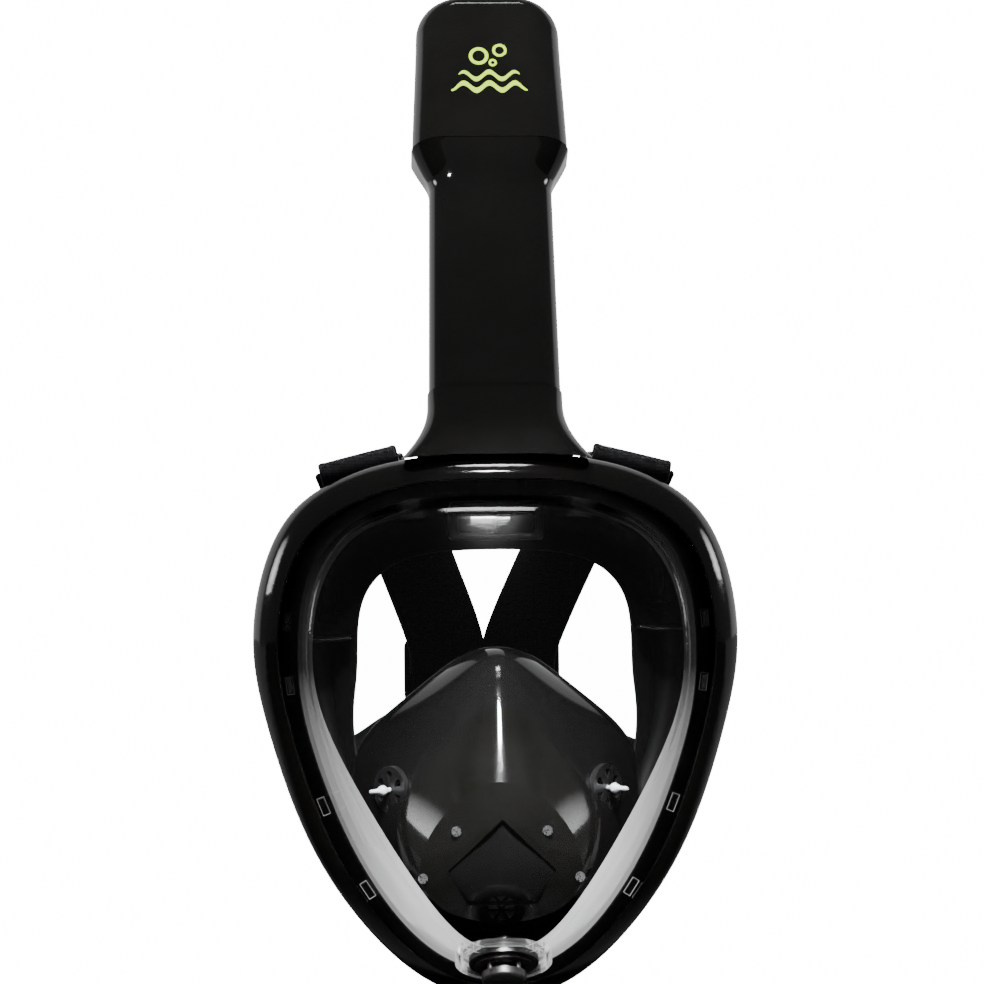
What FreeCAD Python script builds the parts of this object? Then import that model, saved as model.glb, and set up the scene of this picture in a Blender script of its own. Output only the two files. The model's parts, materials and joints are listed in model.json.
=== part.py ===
import FreeCAD, Part
import math
import os
from FreeCAD import Vector

# A full face snorkel mask, in millimetres.  +Z is up, -Y is the front (the way the wearer looks),
# +X is the viewer's right.  The origin is the centre of the face opening, on the plane where the lens
# flange meets the frame.

os.makedirs("parts", exist_ok=True)

# ---------------------------------------------------------------- driving dimensions
GAP = 0.4                  # clearance between neighbouring pieces
WRAP_RADIUS = 190.0        # how the mask bends back round the face, side to side
CHIN_RADIUS = 400.0        # how the chin bends back below CHIN_START
CHIN_START = -60.0

FLANGE = 2.2               # lens flange thickness
LENS_WALL = 2.2            # lens wall thickness
BEZEL_HEIGHT = 7.6         # bezel crest in front of the parting plane
BEZEL_SKIRT = 2.6          # bezel outer wall thickness
BEZEL_BACK = -9.0          # bezel back edge
FRAME_FRONT = -3.8         # rear frame, front face
FRAME_BACK = -13.0         # rear frame, back face
SKIRT_WALL = 2.4           # silicone wall

# The snorkel.  Its heights run up the leaning axis, from the seam between socket and tube.
LEAN = 20.0                # it leans back by this angle, in degrees
SEAM_Y = 19.5              # where its axis meets the socket seam
SEAM_Z = 91.5
TUBE_FOOT_WIDE = 52.4
TUBE_WIDE = 50.0           # at the upper end of the tapered tube
TUBE_DEEP = 28.0
TUBE_CORNER = 11.0
TUBE_TOP = 88.0            # the tube ends and the flared head begins
HEAD_TOP = 105.5           # top edge of the flared head
CAP_TOP = 173.0
CAP_WIDE = 63.4
CAP_DEEP = 40.0
CAP_DOME = 15.0            # height of the cap's domed crown
SPIGOT_WIDE = 47.2
SPIGOT_DEEP = 24.4
SPIGOT_DEPTH = 18.0
SOCKET_FLOOR = 60.2        # the socket ends just above the skirt
LATCH_PIVOT_Y = 17.5       # release lever pin, from the snorkel axis and below the seam
LATCH_PIVOT_Z = -10.0

# The dry top inside the cap.
DECK_LOW = HEAD_TOP - 5.0
DECK_TOP = DECK_LOW + 2.0
SEAT_LOW = DECK_TOP + 43.0 # underside of the float's valve seat
FLOAT_TRAVEL = 8.6
FLOAT_LOW = DECK_TOP + 2.0
FLOAT_HIGH = SEAT_LOW - GAP - FLOAT_TRAVEL - 1.6

# The cup valves and the purge valve.
CUP_VALVE = Vector(43.6, 11.8, -63.5)
PLATE_SCREWS = [(30.5, -95.5), (-30.5, -95.5), (17.6, -76.5), (-17.6, -76.5)]
PLATE_START = 0.72         # where along the cup's side the mouth plate ends: 0 rim, 1 front
PURGE_TILT = 60.0          # purge valve axis, degrees below straight ahead
PURGE_CENTRE = Vector(0, -26, -126.6)
PURGE_TUNNEL = 18.6        # outer radius of the clear tunnel
PURGE_BORE = 16.4
PURGE_FLOOR = -3.5         # the tunnel's floor, from its rim

# The head straps, right side: centre lines from the clip bar to the yoke.
STRAP_WIDE = 32.0
STRAP_THICK = 2.4
UPPER_BAR = Vector(54, 21, 64.5)
UPPER_BAR_LINE = (0.97, 0, -0.24)
LOWER_BAR = Vector(74, 37, -72)
LOWER_BAR_LINE = (0.4, 0, 0.92)
UPPER_PATH = [(54, 27.2, 64.5), (50, 46, 62), (37, 75, 42), (26, 89.5, 17), (18.4, 95.6, -10)]
LOWER_PATH = [(74, 40.5, -72), (73, 56, -71), (63, 74, -67.5), (47, 88, -61), (31, 95.8, -52)]
YOKE_X = -6.5              # the yoke hangs a little to the left
YOKE_OUTLINE = [(-33, -8), (33, -8), (33, -34), (27, -46), (33, -62), (20, -72), (-20, -72), (-33, -62),
                (-27, -46), (-33, -34), (-33, -8)]

# Outlines, right half, from the top of the mask to the chin: (half width, height).
FRAME_EDGE = [(0, 68.6), (30.5, 67.8), (59, 61), (81.3, 46.3), (93.5, 21.8), (97.2, -8),
              (91.6, -39), (79.2, -75.3), (60.8, -107.8), (33, -136), (0, -147)]
WINDOW_EDGE = [(0, 58.8), (28.3, 57.7), (52.8, 51), (72.5, 38.6), (83.2, 18.4), (86.6, -8),
               (82, -37.5), (70.5, -73), (53.8, -103.8), (29.8, -129.4), (0, -139.6)]
LENS_FOOT = [(0, 55.6), (27, 54.6), (50, 48.2), (67.5, 36), (77, 16), (79.4, -8),
             (76.6, -36), (65.3, -71), (49.3, -101.5), (27.3, -125.8), (0, -134.8)]
LENS_FRONT = [(0, 46.6), (24, 46.4), (46, 44.4), (61.5, 34.5), (71.5, 17), (75.0, -7),
              (70.2, -35), (52.8, -68.5), (33.5, -98), (16.2, -117), (0, -121.5)]
LENS_POLE = Vector(0, -33, -30)
LENS_TILT = 0.166
LENS_DEPTH = [12, 12.3, 13, 14.5, 16, 18.5, 24.5, 34, 41.5, 44.5, 45]
TOP_SNAP = (9.2, 57)       # clear bar between two notches at the top of the lens flange
SIDE_SNAPS = [(82, 3), (81.5, -22), (68, -69), (51.5, -102)]
FACE_EDGE = [(0, 31.5), (24, 30.3), (42.5, 24.5), (53, 12.5), (56, -3), (56.6, -20),
             (58, -38), (54, -63), (42, -86), (23, -102), (0, -108)]

# The nose and mouth cup, right half, from the nose bridge to the chin: (half width, depth, height).
CUP_RIM = [(0, 24, -9), (14, 26, -12.5), (33, 31, -27), (52, 37, -45), (56.5, 36, -66),
           (51, 30, -90), (38, 24, -109), (19, 20, -119.5), (0, 19, -122.5)]
CUP_MIDDLE = [(0, 1, -22), (12, 5, -26), (26, 10, -37), (40, 15, -50), (46, 15, -67),
              (43, 12, -86), (34, 8, -103), (18, 5, -115), (0, 4, -119)]
CUP_FRONT = [(0, -21, -58), (9, -20, -60), (17, -17, -66), (25, -13, -76), (29.5, -11, -87),
             (29, -11, -97), (23, -12, -105), (12, -13, -109.5), (0, -13, -111)]
CUP_POLE = Vector(0, -24, -84)
CUP_CENTRE = Vector(0, 22, -66)
CUP_TILT = -0.07
BROW_LIFT = [(0, 0), (-4.5, 9.5), (0, 16.8), (1, 8), (0, 0)]   # depth and height, rim to front, at the bridge
BROW_SHARE = [1.0, 0.75, 0.3]                                   # how much of it the next points get


# ---------------------------------------------------------------- loops and strips
def wrap(x, z):
    """How far back the parting surface lies at a point of the front view."""
    below = max(0.0, CHIN_START - z)
    return x * x / (2 * WRAP_RADIUS) + below * below / (2 * CHIN_RADIUS)


def mirror_loop(half):
    """A closed loop from its right half: the same points again on the left, chin to top."""
    left = [(-point[0],) + tuple(point[1:]) for point in half[-2:0:-1]]
    return [tuple(point) for point in half] + left


def inset(loop, distance):
    """The flat loop moved inward, square to itself."""
    count = len(loop)
    moved = []
    for i, (x, z) in enumerate(loop):
        before, after = loop[i - 1], loop[(i + 1) % count]
        dx, dz = after[0] - before[0], after[1] - before[1]
        length = math.hypot(dx, dz)
        moved.append((x + dz / length * distance, z - dx / length * distance))
    return moved


def between(first, second, share):
    return [(a[0] + (b[0] - a[0]) * share, a[1] + (b[1] - a[1]) * share) for a, b in zip(first, second)]


def raised(loop, height):
    """The flat loop placed in space, the given height in front of the wrapped parting surface."""
    heights = height if isinstance(height, list) else [height] * len(loop)
    return [Vector(x, wrap(x, z) - h, z) for (x, z), h in zip(loop, heights)]


def dome(loop, pole, tilt, start=1.0):
    """Rows from a loop to a pole, for one cubic strip: the surface bends back from its tilted tangent
    plane at the pole with the square of the distance."""
    rows = []
    for share, bend in ((start, start * start), (start * 2 / 3, start * start / 3), (start / 3, 0.0), (0.0, 0.0)):
        row = []
        for p in loop:
            point = pole + (p - pole) * share
            residue = p.y - pole.y - tilt * (p.z - pole.z)
            point.y = pole.y + tilt * (point.z - pole.z) + residue * bend
            row.append(point)
        rows.append(row)
    return rows


def through(points):
    """Poles of the periodic cubic that passes through the points."""
    count = len(points)
    poles = [Vector(p) for p in points]
    for _ in range(40):
        poles = [poles[i] + (points[i] - (poles[i - 1] + poles[i] * 4 + poles[(i + 1) % count]) / 6)
                 for i in range(count)]
    return poles


def strip(rows):
    """One ring-shaped face: periodic along the loops, a Bezier curve across them."""
    degree = len(rows) - 1
    count = len(rows[0])
    surface = Part.BSplineSurface()
    surface.buildFromPolesMultsKnots([through(row) for row in rows], [degree + 1] * 2, [1] * (count + 1),
                                     [0, 1], list(range(count + 1)), False, True, degree, 3)
    return surface.toShape()


def solid_from(strips):
    """Sews a closed set of strips into one solid."""
    shell = Part.makeCompound([strip(rows) for rows in strips])
    shell.sewShape(1e-4)
    solid = Part.Solid(shell.Shells[0])
    if solid.Volume < 0:
        solid.reverse()
    return solid


def ring(rows, curves=()):
    """A ring of closed section.  The rows are joined by flat strips, except where a curve (start row,
    number of rows) says that the strip bends through its middle rows."""
    spans = dict(curves)
    strips = []
    index = 0
    while index < len(rows):
        step = spans.get(index, 1)
        strips.append([rows[(index + k) % len(rows)] for k in range(step + 1)])
        index += step
    return solid_from(strips)


# ---------------------------------------------------------------- simple solids
def cylinder(radius, start, end):
    axis = end - start
    return Part.makeCylinder(radius, axis.Length, start, axis)


def tube(outer, inner, start, end):
    return cylinder(outer, start, end).cut(cylinder(inner, start, end))


def rounded_wire(wide, deep, corner, height, centre_y=0.0):
    """A rounded rectangle, flat, at a height."""
    x, y, r = wide / 2, deep / 2, corner
    side = r * math.sqrt(0.5)
    edges = []
    for sx, sy in ((1, 1), (-1, 1), (-1, -1), (1, -1)):
        cx, cy = sx * (x - r), sy * (y - r) + centre_y
        ends = [Vector(cx + sx * r, cy, height), Vector(cx, cy + sy * r, height)]
        if sx * sy < 0:
            ends.reverse()
        edges.append((ends[0], Vector(cx + sx * side, cy + sy * side, height), ends[1]))
    wire = []
    for i, (start, middle, end) in enumerate(edges):
        wire.append(Part.Arc(start, middle, end).toShape())
        wire.append(Part.LineSegment(end, edges[(i + 1) % 4][0]).toShape())
    return Part.Wire(wire)


def prism(wide, deep, corner, low, high, centre_y=0.0):
    face = Part.Face(rounded_wire(wide, deep, corner, low, centre_y))
    return face.extrude(Vector(0, 0, high - low))


def box(low, high):
    size = Vector(*high) - Vector(*low)
    return Part.makeBox(size.x, size.y, size.z, Vector(*low))


def loft(sections, ruled=False):
    return Part.makeLoft(sections, True, ruled)


def on_snorkel(shape):
    """Places a shape modelled upright at the seam on the leaning snorkel axis."""
    placed = shape.copy()
    placed.rotate(Vector(0, 0, 0), Vector(1, 0, 0), -LEAN)
    placed.translate(Vector(0, SEAM_Y, SEAM_Z))
    return placed


def left_copy(shape):
    return shape.mirror(Vector(0, 0, 0), Vector(1, 0, 0))


parts = {}

# ---------------------------------------------------------------- outlines used by several pieces
frame_edge = mirror_loop(FRAME_EDGE)
window_edge = mirror_loop(WINDOW_EDGE)
lens_foot = mirror_loop(LENS_FOOT)
lens_front = mirror_loop(LENS_FRONT)
lens_depth = LENS_DEPTH + LENS_DEPTH[-2:0:-1]
face_edge = mirror_loop(FACE_EDGE)
cup_out = Vector(0.76, -0.65, 0).normalize()       # the way the right cup valve faces

purge_out = Vector(0, -math.cos(math.radians(PURGE_TILT)), -math.sin(math.radians(PURGE_TILT)))


def on_purge(distance):
    """A point on the purge valve's axis, outward from the tunnel's rim."""
    return PURGE_CENTRE + purge_out * distance


def snap_places(spots):
    """Points of the flange strip nearest to the spots, both sides, each with its direction along it."""
    middle = raised(between(window_edge, lens_foot, 0.45), 0.0)
    curve = Part.BSplineCurve()
    curve.interpolate(middle, PeriodicFlag=True)
    places = []
    for x, z in spots:
        for side in (1, -1):
            at = curve.parameter(Vector(side * x, wrap(x, z), z))
            places.append((curve.value(at), Vector(*curve.tangent(at)[0])))
    return places


def snap_block(place, length, wide, low, high):
    """A box along the flange strip, between two heights over the parting surface."""
    centre, along = place
    across = along.cross(Vector(0, 1, 0)).normalize()
    along = Vector(0, 1, 0).cross(across)
    corner = centre - along * (length / 2) - across * (wide / 2) - Vector(0, low, 0)
    edges = [corner, corner + along * length, corner + along * length + across * wide, corner + across * wide]
    return Part.Face(Part.makePolygon(edges + [corner])).extrude(Vector(0, low - high, 0))


def front_bezel():
    """The glossy ring that clamps the lens: rounded front, window lip and outer wall."""
    under = FLANGE + GAP
    wall = inset(frame_edge, BEZEL_SKIRT)
    crest = BEZEL_HEIGHT
    rows = [raised(frame_edge, BEZEL_BACK), raised(frame_edge, -2.0),
            raised(frame_edge, 3.6), raised(between(frame_edge, window_edge, 0.55), crest),
            raised(between(frame_edge, window_edge, 0.93), crest),
            raised(between(frame_edge, window_edge, 0.98), crest), raised(window_edge, crest - 0.3),
            raised(window_edge, crest - 1.4), raised(window_edge, under), raised(wall, under),
            raised(wall, BEZEL_BACK)]
    return ring(rows, [(1, 3), (4, 3)])


def visor_lens():
    """The clear moulded lens: flange, side walls, domed front and the purge tunnel."""
    edge = inset(frame_edge, BEZEL_SKIRT + GAP)
    pole = LENS_POLE
    foot = raised(lens_foot, FLANGE)
    brim = raised(lens_front, lens_depth)
    inner_foot = raised(inset(lens_foot, LENS_WALL), 0.0)
    inner_brim = raised(inset(lens_front, LENS_WALL), [d - LENS_WALL for d in lens_depth])
    inner_pole = pole + Vector(0, LENS_WALL, 0)
    lift = 2.4
    rise = [f + (b - f).normalize() * lift for f, b in zip(foot, brim)]
    fall = [b - (b - f).normalize() * lift for f, b in zip(foot, brim)]
    outer_dome = dome(brim, pole, LENS_TILT, 0.965)
    inner_dome = dome(inner_brim, inner_pole, LENS_TILT)
    strips = [[raised(edge, 0.0), raised(edge, FLANGE)],
              [raised(edge, FLANGE), raised(inset(lens_foot, -lift), FLANGE)],
              [raised(inset(lens_foot, -lift), FLANGE), foot, rise],
              [rise, fall],
              [fall, brim, outer_dome[0]],
              outer_dome,
              inner_dome[::-1],
              [inner_brim, inner_foot],
              [inner_foot, raised(edge, 0.0)]]
    lens = solid_from(strips)
    for place in snap_places(SIDE_SNAPS):
        lens = lens.cut(snap_block(place, 7.0, 3.0, -1.0, FLANGE + 1.0))
    for place in snap_places([TOP_SNAP]):
        lens = lens.cut(snap_block(place, 4.2, 3.8, -1.0, FLANGE + 1.0))
    lens = lens.cut(cylinder(PURGE_BORE, on_purge(-30), on_purge(14)))
    inside = solid_from([inner_dome, [inner_brim, inner_foot], dome(inner_foot, Vector(0, 20, -30), 0.0)])
    tunnel = tube(PURGE_TUNNEL, PURGE_BORE, on_purge(-14), on_purge(0)).cut(inside)
    floor = tube(PURGE_TUNNEL - 1.0, 11.6, on_purge(PURGE_FLOOR), on_purge(PURGE_FLOOR + 1.5))
    return lens.fuse([tunnel, floor]).removeSplitter()


def rear_frame():
    """The ring behind the skirt bead that the bezel clamps to."""
    outer = inset(frame_edge, BEZEL_SKIRT + GAP)
    inner = inset(lens_foot, -(SKIRT_WALL + GAP))
    rows = [raised(outer, FRAME_BACK + 2.5), raised(outer, FRAME_FRONT), raised(inner, FRAME_FRONT),
            raised(inner, FRAME_BACK), raised(between(outer, inner, 0.35), FRAME_BACK)]
    frame = ring(rows)
    for place in snap_places(SIDE_SNAPS):
        frame = frame.fuse(snap_block(place, 6.0, 1.9, FRAME_FRONT - 1.0, FLANGE))
    return frame.removeSplitter()


def face_skirt():
    """The silicone skirt: clamped bead, wall going back and the lip that turns in to the face."""
    bead = inset(frame_edge, BEZEL_SKIRT + 2 * GAP)
    inside = inset(lens_foot, LENS_WALL + GAP)
    rows = [raised(bead, -3.4), raised(bead, -GAP), raised(inside, -GAP), raised(inset(lens_foot, -0.5), -20),
            raised(inset(lens_foot, 0.5), -40), raised(inset(lens_foot, 10), -42), raised(face_edge, -33),
            raised(inset(face_edge, -0.4), -35), raised(inset(lens_foot, 10), -45),
            raised(inset(lens_foot, -3), -43.5), raised(inset(lens_foot, -3.4), -24),
            raised(inset(lens_foot, 0.1 - SKIRT_WALL), FRAME_BACK - 0.6),
            raised(inset(lens_foot, 0.1 - SKIRT_WALL), -3.4)]
    skirt = ring(rows, [(2, 4), (7, 4)])
    for place in snap_places(SIDE_SNAPS):
        skirt = skirt.cut(snap_block(place, 7.0, 3.0, FRAME_FRONT - 1.5, 1.0))
    return skirt.cut(box((-16, 15, 44), (16, 27, 75)))


def cup_skin(offset):
    """The cup's outer surface, moved the given distance towards its inside: a strip from the rim to
    the front, and the dome that closes it.  The strip is lifted at the bridge of the nose."""
    rim, middle, front = [[Vector(*point) for point in mirror_loop(half)]
                          for half in (CUP_RIM, CUP_MIDDLE, CUP_FRONT)]
    rows = [[] for _ in BROW_LIFT]
    for i, (r, m, f) in enumerate(zip(rim, middle, front)):
        share = BROW_SHARE[min(i, len(rim) - i)] if min(i, len(rim) - i) < len(BROW_SHARE) else 0.0
        poles = [r, (r + m) / 2, (r + m * 4 + f) / 6, (m + f) / 2, f]
        for row, pole, (back, up) in zip(rows, poles, BROW_LIFT):
            p = pole + Vector(0, back, up) * share
            row.append(p + (CUP_CENTRE - p).normalize() * offset)
    return rows, dome(rows[-1], CUP_POLE + Vector(0, offset, 0), CUP_TILT)


def orinasal_cup():
    """The nose and mouth cup: a soft shell open at the back, with a hole for each valve."""
    wall = 2.2
    outer, outer_front = cup_skin(0.0)
    inner, inner_front = cup_skin(wall)
    cup = solid_from([outer, outer_front, inner_front[::-1], inner[::-1], [inner[0], outer[0]]])
    for side in (1, -1):
        centre = Vector(side * CUP_VALVE.x, CUP_VALVE.y, CUP_VALVE.z)
        axis = Vector(side * cup_out.x, cup_out.y, 0)
        cup = cup.cut(cylinder(9.9, centre - axis * 8, centre + axis * 8))
    return cup


def mouth_plate():
    """The stiff plate in front of the cup, with its five-sided window."""
    back, back_front = cup_skin(-0.5)
    front, front_front = cup_skin(-2.5)

    def lower_part(rows):
        """The same strip from PLATE_START on: the last points of each step of its subdivision."""
        kept = [rows[-1]]
        while len(rows) > 1:
            rows = [[a * (1 - PLATE_START) + b * PLATE_START for a, b in zip(first, second)]
                    for first, second in zip(rows, rows[1:])]
            kept.insert(0, rows[-1])
        return kept

    back_side, front_side = lower_part(back), lower_part(front)
    plate = solid_from([back_side, back_front, front_side, front_front, [back_side[0], front_side[0]]])
    corners = [(0, -71.5), (21, -92), (13.5, -105.5), (-13.5, -105.5), (-21, -92), (0, -71.5)]
    window = Part.Face(Part.makePolygon([Vector(x, -45, z) for x, z in corners]))
    return plate.cut(window.extrude(Vector(0, 60, 0)))


def front_of(shape, x, z):
    """Where a line straight back from the front first meets the shape."""
    line = Part.LineSegment(Vector(x, -80, z), Vector(x, 60, z)).toShape()
    return shape.common(line).BoundBox.YMin


def plate_screw(x, y, z):
    """A small pan head screw driven straight back, its head on the plate."""
    pan = Part.makeCylinder(1.9, 1.3, Vector(x, y - 1.4, z), Vector(0, 1, 0))
    slot = box((x - 2.2, y - 2, z - 0.25), (x + 2.2, y - 0.9, z + 0.25))
    shaft = Part.makeCylinder(1.1, 4.5, Vector(x, y - 0.2, z), Vector(0, 1, 0))
    return pan.fuse(shaft).cut(slot)


def mouth_plate_and_screws(cup):
    """The plate with its screws; plate and cup get a clearance hole and a seat for each."""
    plate = mouth_plate()
    screws = []
    for x, z in PLATE_SCREWS:
        y = front_of(plate, x, z)
        screws.append(plate_screw(x, y, z))
        plate = plate.cut(Part.makeCylinder(1.5, 30, Vector(x, y - 10, z), Vector(0, 1, 0)))
        plate = plate.cut(Part.makeCylinder(2.3, 10, Vector(x, y - 10.0 + 0.1, z), Vector(0, 1, 0)))
        cup = cup.cut(Part.makeCylinder(1.5, 30, Vector(x, y - 10, z), Vector(0, 1, 0)))
    return plate, Part.makeCompound(screws), cup


# ---------------------------------------------------------------- cup valves
def cup_valve_seat():
    """A disc set in the cup wall, with a ring of tear-shaped ports and a hole for the valve stem."""
    centre, axis = CUP_VALVE, cup_out
    seat = cylinder(9.4, centre - axis * 3.0, centre - axis * 0.4)
    seat = seat.cut(cylinder(1.4, centre - axis * 4, centre + axis * 1))
    up = Vector(0, 0, 1)
    across = axis.cross(up)
    for k in range(6):
        turn = math.radians(60 * k + 30)
        ray = across * math.cos(turn) + up * math.sin(turn)
        side = across * -math.sin(turn) + up * math.cos(turn)
        start = centre - axis * 4
        tip = start + ray * 2.9
        round_centre = start + ray * 6.2
        round_port = cylinder(1.5, round_centre, round_centre + axis * 6)
        wedge = Part.Face(Part.makePolygon([tip, round_centre + side * 1.45 + ray * 0.3,
                                            round_centre - side * 1.45 + ray * 0.3, tip]))
        seat = seat.cut(round_port).cut(wedge.extrude(axis * 6))
    return seat


def cup_valve_flap():
    """The soft umbrella valve: a thin disc behind the seat, its stem and the bulb in front."""
    centre, axis = CUP_VALVE, cup_out
    disc = cylinder(8.2, centre - axis * 4.3, centre - axis * 3.4)
    stem = cylinder(0.95, centre - axis * 3.6, centre + axis * 4.0)
    bulb = Part.makeSphere(2.1, centre + axis * 3.2)
    tail = cylinder(0.9, centre + axis * 3.2, centre + axis * 9.6)
    return disc.fuse([stem, bulb, tail]).removeSplitter()


# ---------------------------------------------------------------- purge valve
def purge_rays(count, start):
    """Directions square to the purge axis, spread evenly round it."""
    across = Vector(1, 0, 0)
    upward = purge_out.cross(across)
    rays = []
    for k in range(count):
        turn = math.radians(start + 360 / count * k)
        rays.append(across * math.cos(turn) + upward * math.sin(turn))
    return rays


def purge_valve_body():
    """The seat screwed into the tunnel's floor: a collar, its flange, a ledge and spokes for the flap."""
    low = PURGE_FLOOR - 2.5
    flange_low = PURGE_FLOOR + 1.6
    collar = tube(11.2, 9.2, on_purge(low), on_purge(flange_low + 0.1))
    flange = tube(13.4, 9.2, on_purge(flange_low), on_purge(0.4))
    hub = cylinder(1.6, on_purge(low), on_purge(low + 1.6))
    ledge = tube(9.6, 6.8, on_purge(low + 0.2), on_purge(low + 1.6))
    body = collar.fuse([flange, hub, ledge])
    for ray in purge_rays(3, 0):
        side = ray.cross(purge_out).normalize() * 0.7
        start, end = on_purge(low + 0.2) - ray * 9.8, on_purge(low + 0.2) + ray * 9.8
        foot = Part.makePolygon([start - side, end - side, end + side, start + side, start - side])
        body = body.fuse(Part.Face(foot).extrude(purge_out * 1.2))
    return body.removeSplitter()


def purge_valve_flap():
    """The soft disc that lies on the ledge, with its middle stub."""
    low = PURGE_FLOOR - 0.5
    disc = cylinder(8.4, on_purge(low), on_purge(low + 0.9))
    return disc.fuse(cylinder(1.2, on_purge(low), on_purge(low + 2.1))).removeSplitter()


def purge_valve_cover():
    """The guard over the flap: a foot ring on the seat, four legs and a round cap."""
    cap = cylinder(8.6, on_purge(4.4), on_purge(7.8)).cut(cylinder(6.6, on_purge(4.3), on_purge(5.8)))
    cover = tube(11.0, 7.6, on_purge(0.5), on_purge(1.7)).fuse(cap)
    for ray in purge_rays(4, 45):
        cover = cover.fuse(cylinder(1.1, on_purge(0.9) + ray * 7.5, on_purge(4.8) + ray * 7.5))
    cover = cover.removeSplitter()
    rim = [edge for edge in cover.Edges
           if edge.Length > 50 and (edge.CenterOfMass - on_purge(7.8)).Length < 0.1]
    return cover.makeFillet(1.0, rim)


# ---------------------------------------------------------------- forehead duct and socket
def forehead_duct():
    """The block behind the forehead of the skirt that leads inhaled air to the eye chamber."""
    block = loft([Part.Wire(Part.makePolygon([Vector(-w, 14, z), Vector(w, 14, z), Vector(w, 31, z),
                                              Vector(-w, 31, z), Vector(-w, 14, z)]))
                  for w, z in ((19.5, 34.5), (18.5, 50.5))], True)
    hollow = box((-15.5, 16, 37), (15.5, 28, 60))
    mouth = box((-15.5, 10, 37), (15.5, 20, 45))
    rib = box((-0.7, 14.2, 36.8), (0.7, 20, 47))
    return block.cut(hollow).cut(mouth).fuse(rib).removeSplitter()


def ring_room():
    """The space that bezel, rear frame and skirt bead fill, with a small clearance all round."""
    outer = inset(frame_edge, -GAP)
    inner = inset(lens_foot, 6)
    rows = [raised(outer, FRAME_BACK - GAP), raised(outer, BEZEL_HEIGHT + 8), raised(inner, BEZEL_HEIGHT + 8),
            raised(inner, FRAME_BACK - GAP)]
    return ring(rows)


def snorkel_socket():
    """The collar that rises from behind the bezel, flaring into it, with the pocket for the spigot and
    a window for the latch.  Its foot is cut to the ring and the skirt that it stands on."""
    mouth_wide = TUBE_FOOT_WIDE + 1.2
    flare = loft([rounded_wire(*s) for s in ((84, 34, 6, -34.0), (69.5, 32.4, 8, -26.0),
                                             (61.0, 31.2, 9.6, -19.0), (55.6, 30.2, 10.6, -12.0),
                                             (mouth_wide + 0.2, 29.4, 11.2, -5.5),
                                             (mouth_wide, 29.2, 11.4, 0.0))])
    body = flare.cut(prism(SPIGOT_WIDE + 0.8, SPIGOT_DEEP + 0.8, 9.2, -SPIGOT_DEPTH - 3.0, 1.0))
    for low, high in ((-21.5, -12.5), (-10, 10), (12.5, 21.5)):
        body = body.cut(box((low, -9, -40), (high, 9, -15)))
    body = body.cut(box((-3.6, 8, -7.4), (3.6, 20, -1.4)))
    for side in (1, -1):
        low, high = sorted((side * 7.1, side * 8.9))
        ear = box((low, 13.6, LATCH_PIVOT_Z - 2.4), (high, LATCH_PIVOT_Y + 1.9, LATCH_PIVOT_Z + 2.4))
        body = body.fuse(ear)
    pin_room = Part.makeCylinder(1.0, 30, Vector(-15, LATCH_PIVOT_Y, LATCH_PIVOT_Z), Vector(1, 0, 0))
    body = on_snorkel(body.cut(pin_room))
    body = body.cut(ring_room()).cut(box((-60, -60, 0), (60, 80, SOCKET_FLOOR)))
    for side in (1, -1):
        low, high = sorted((side * 31, side * 60))
        body = body.cut(box((low, 12, 50), (high, 60, 77)))
    return body


def socket_gasket():
    outer = prism(SPIGOT_WIDE, SPIGOT_DEEP, 8.8, -SPIGOT_DEPTH - 2.9, -SPIGOT_DEPTH - 0.9)
    return on_snorkel(outer.cut(prism(42.4, 19.6, 6.4, -30, 0)))


def release_lever():
    """The rocking latch at the back of the socket: pressed below its pin, its tooth swings out."""
    pad = prism(13.2, 2.2, 1.0, LATCH_PIVOT_Z - 8.5, LATCH_PIVOT_Z + 7.8, LATCH_PIVOT_Y + 0.9)
    boss = Part.makeCylinder(1.9, 13.2, Vector(-6.6, LATCH_PIVOT_Y, LATCH_PIVOT_Z), Vector(1, 0, 0))
    tooth = box((-3, 12.1, LATCH_PIVOT_Z + 5.6), (3, LATCH_PIVOT_Y + 1, LATCH_PIVOT_Z + 7.2))
    pin_room = Part.makeCylinder(1.05, 30, Vector(-15, LATCH_PIVOT_Y, LATCH_PIVOT_Z), Vector(1, 0, 0))
    ribs = [box((-4.5, LATCH_PIVOT_Y + 1.5, LATCH_PIVOT_Z - 7.4 + 1.5 * k),
                (4.5, LATCH_PIVOT_Y + 2.5, LATCH_PIVOT_Z - 6.7 + 1.5 * k)) for k in range(4)]
    return on_snorkel(pad.fuse([boss, tooth] + ribs).cut(pin_room).removeSplitter())


def release_pin():
    return on_snorkel(Part.makeCylinder(0.98, 17.6, Vector(-8.8, LATCH_PIVOT_Y, LATCH_PIVOT_Z), Vector(1, 0, 0)))


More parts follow.
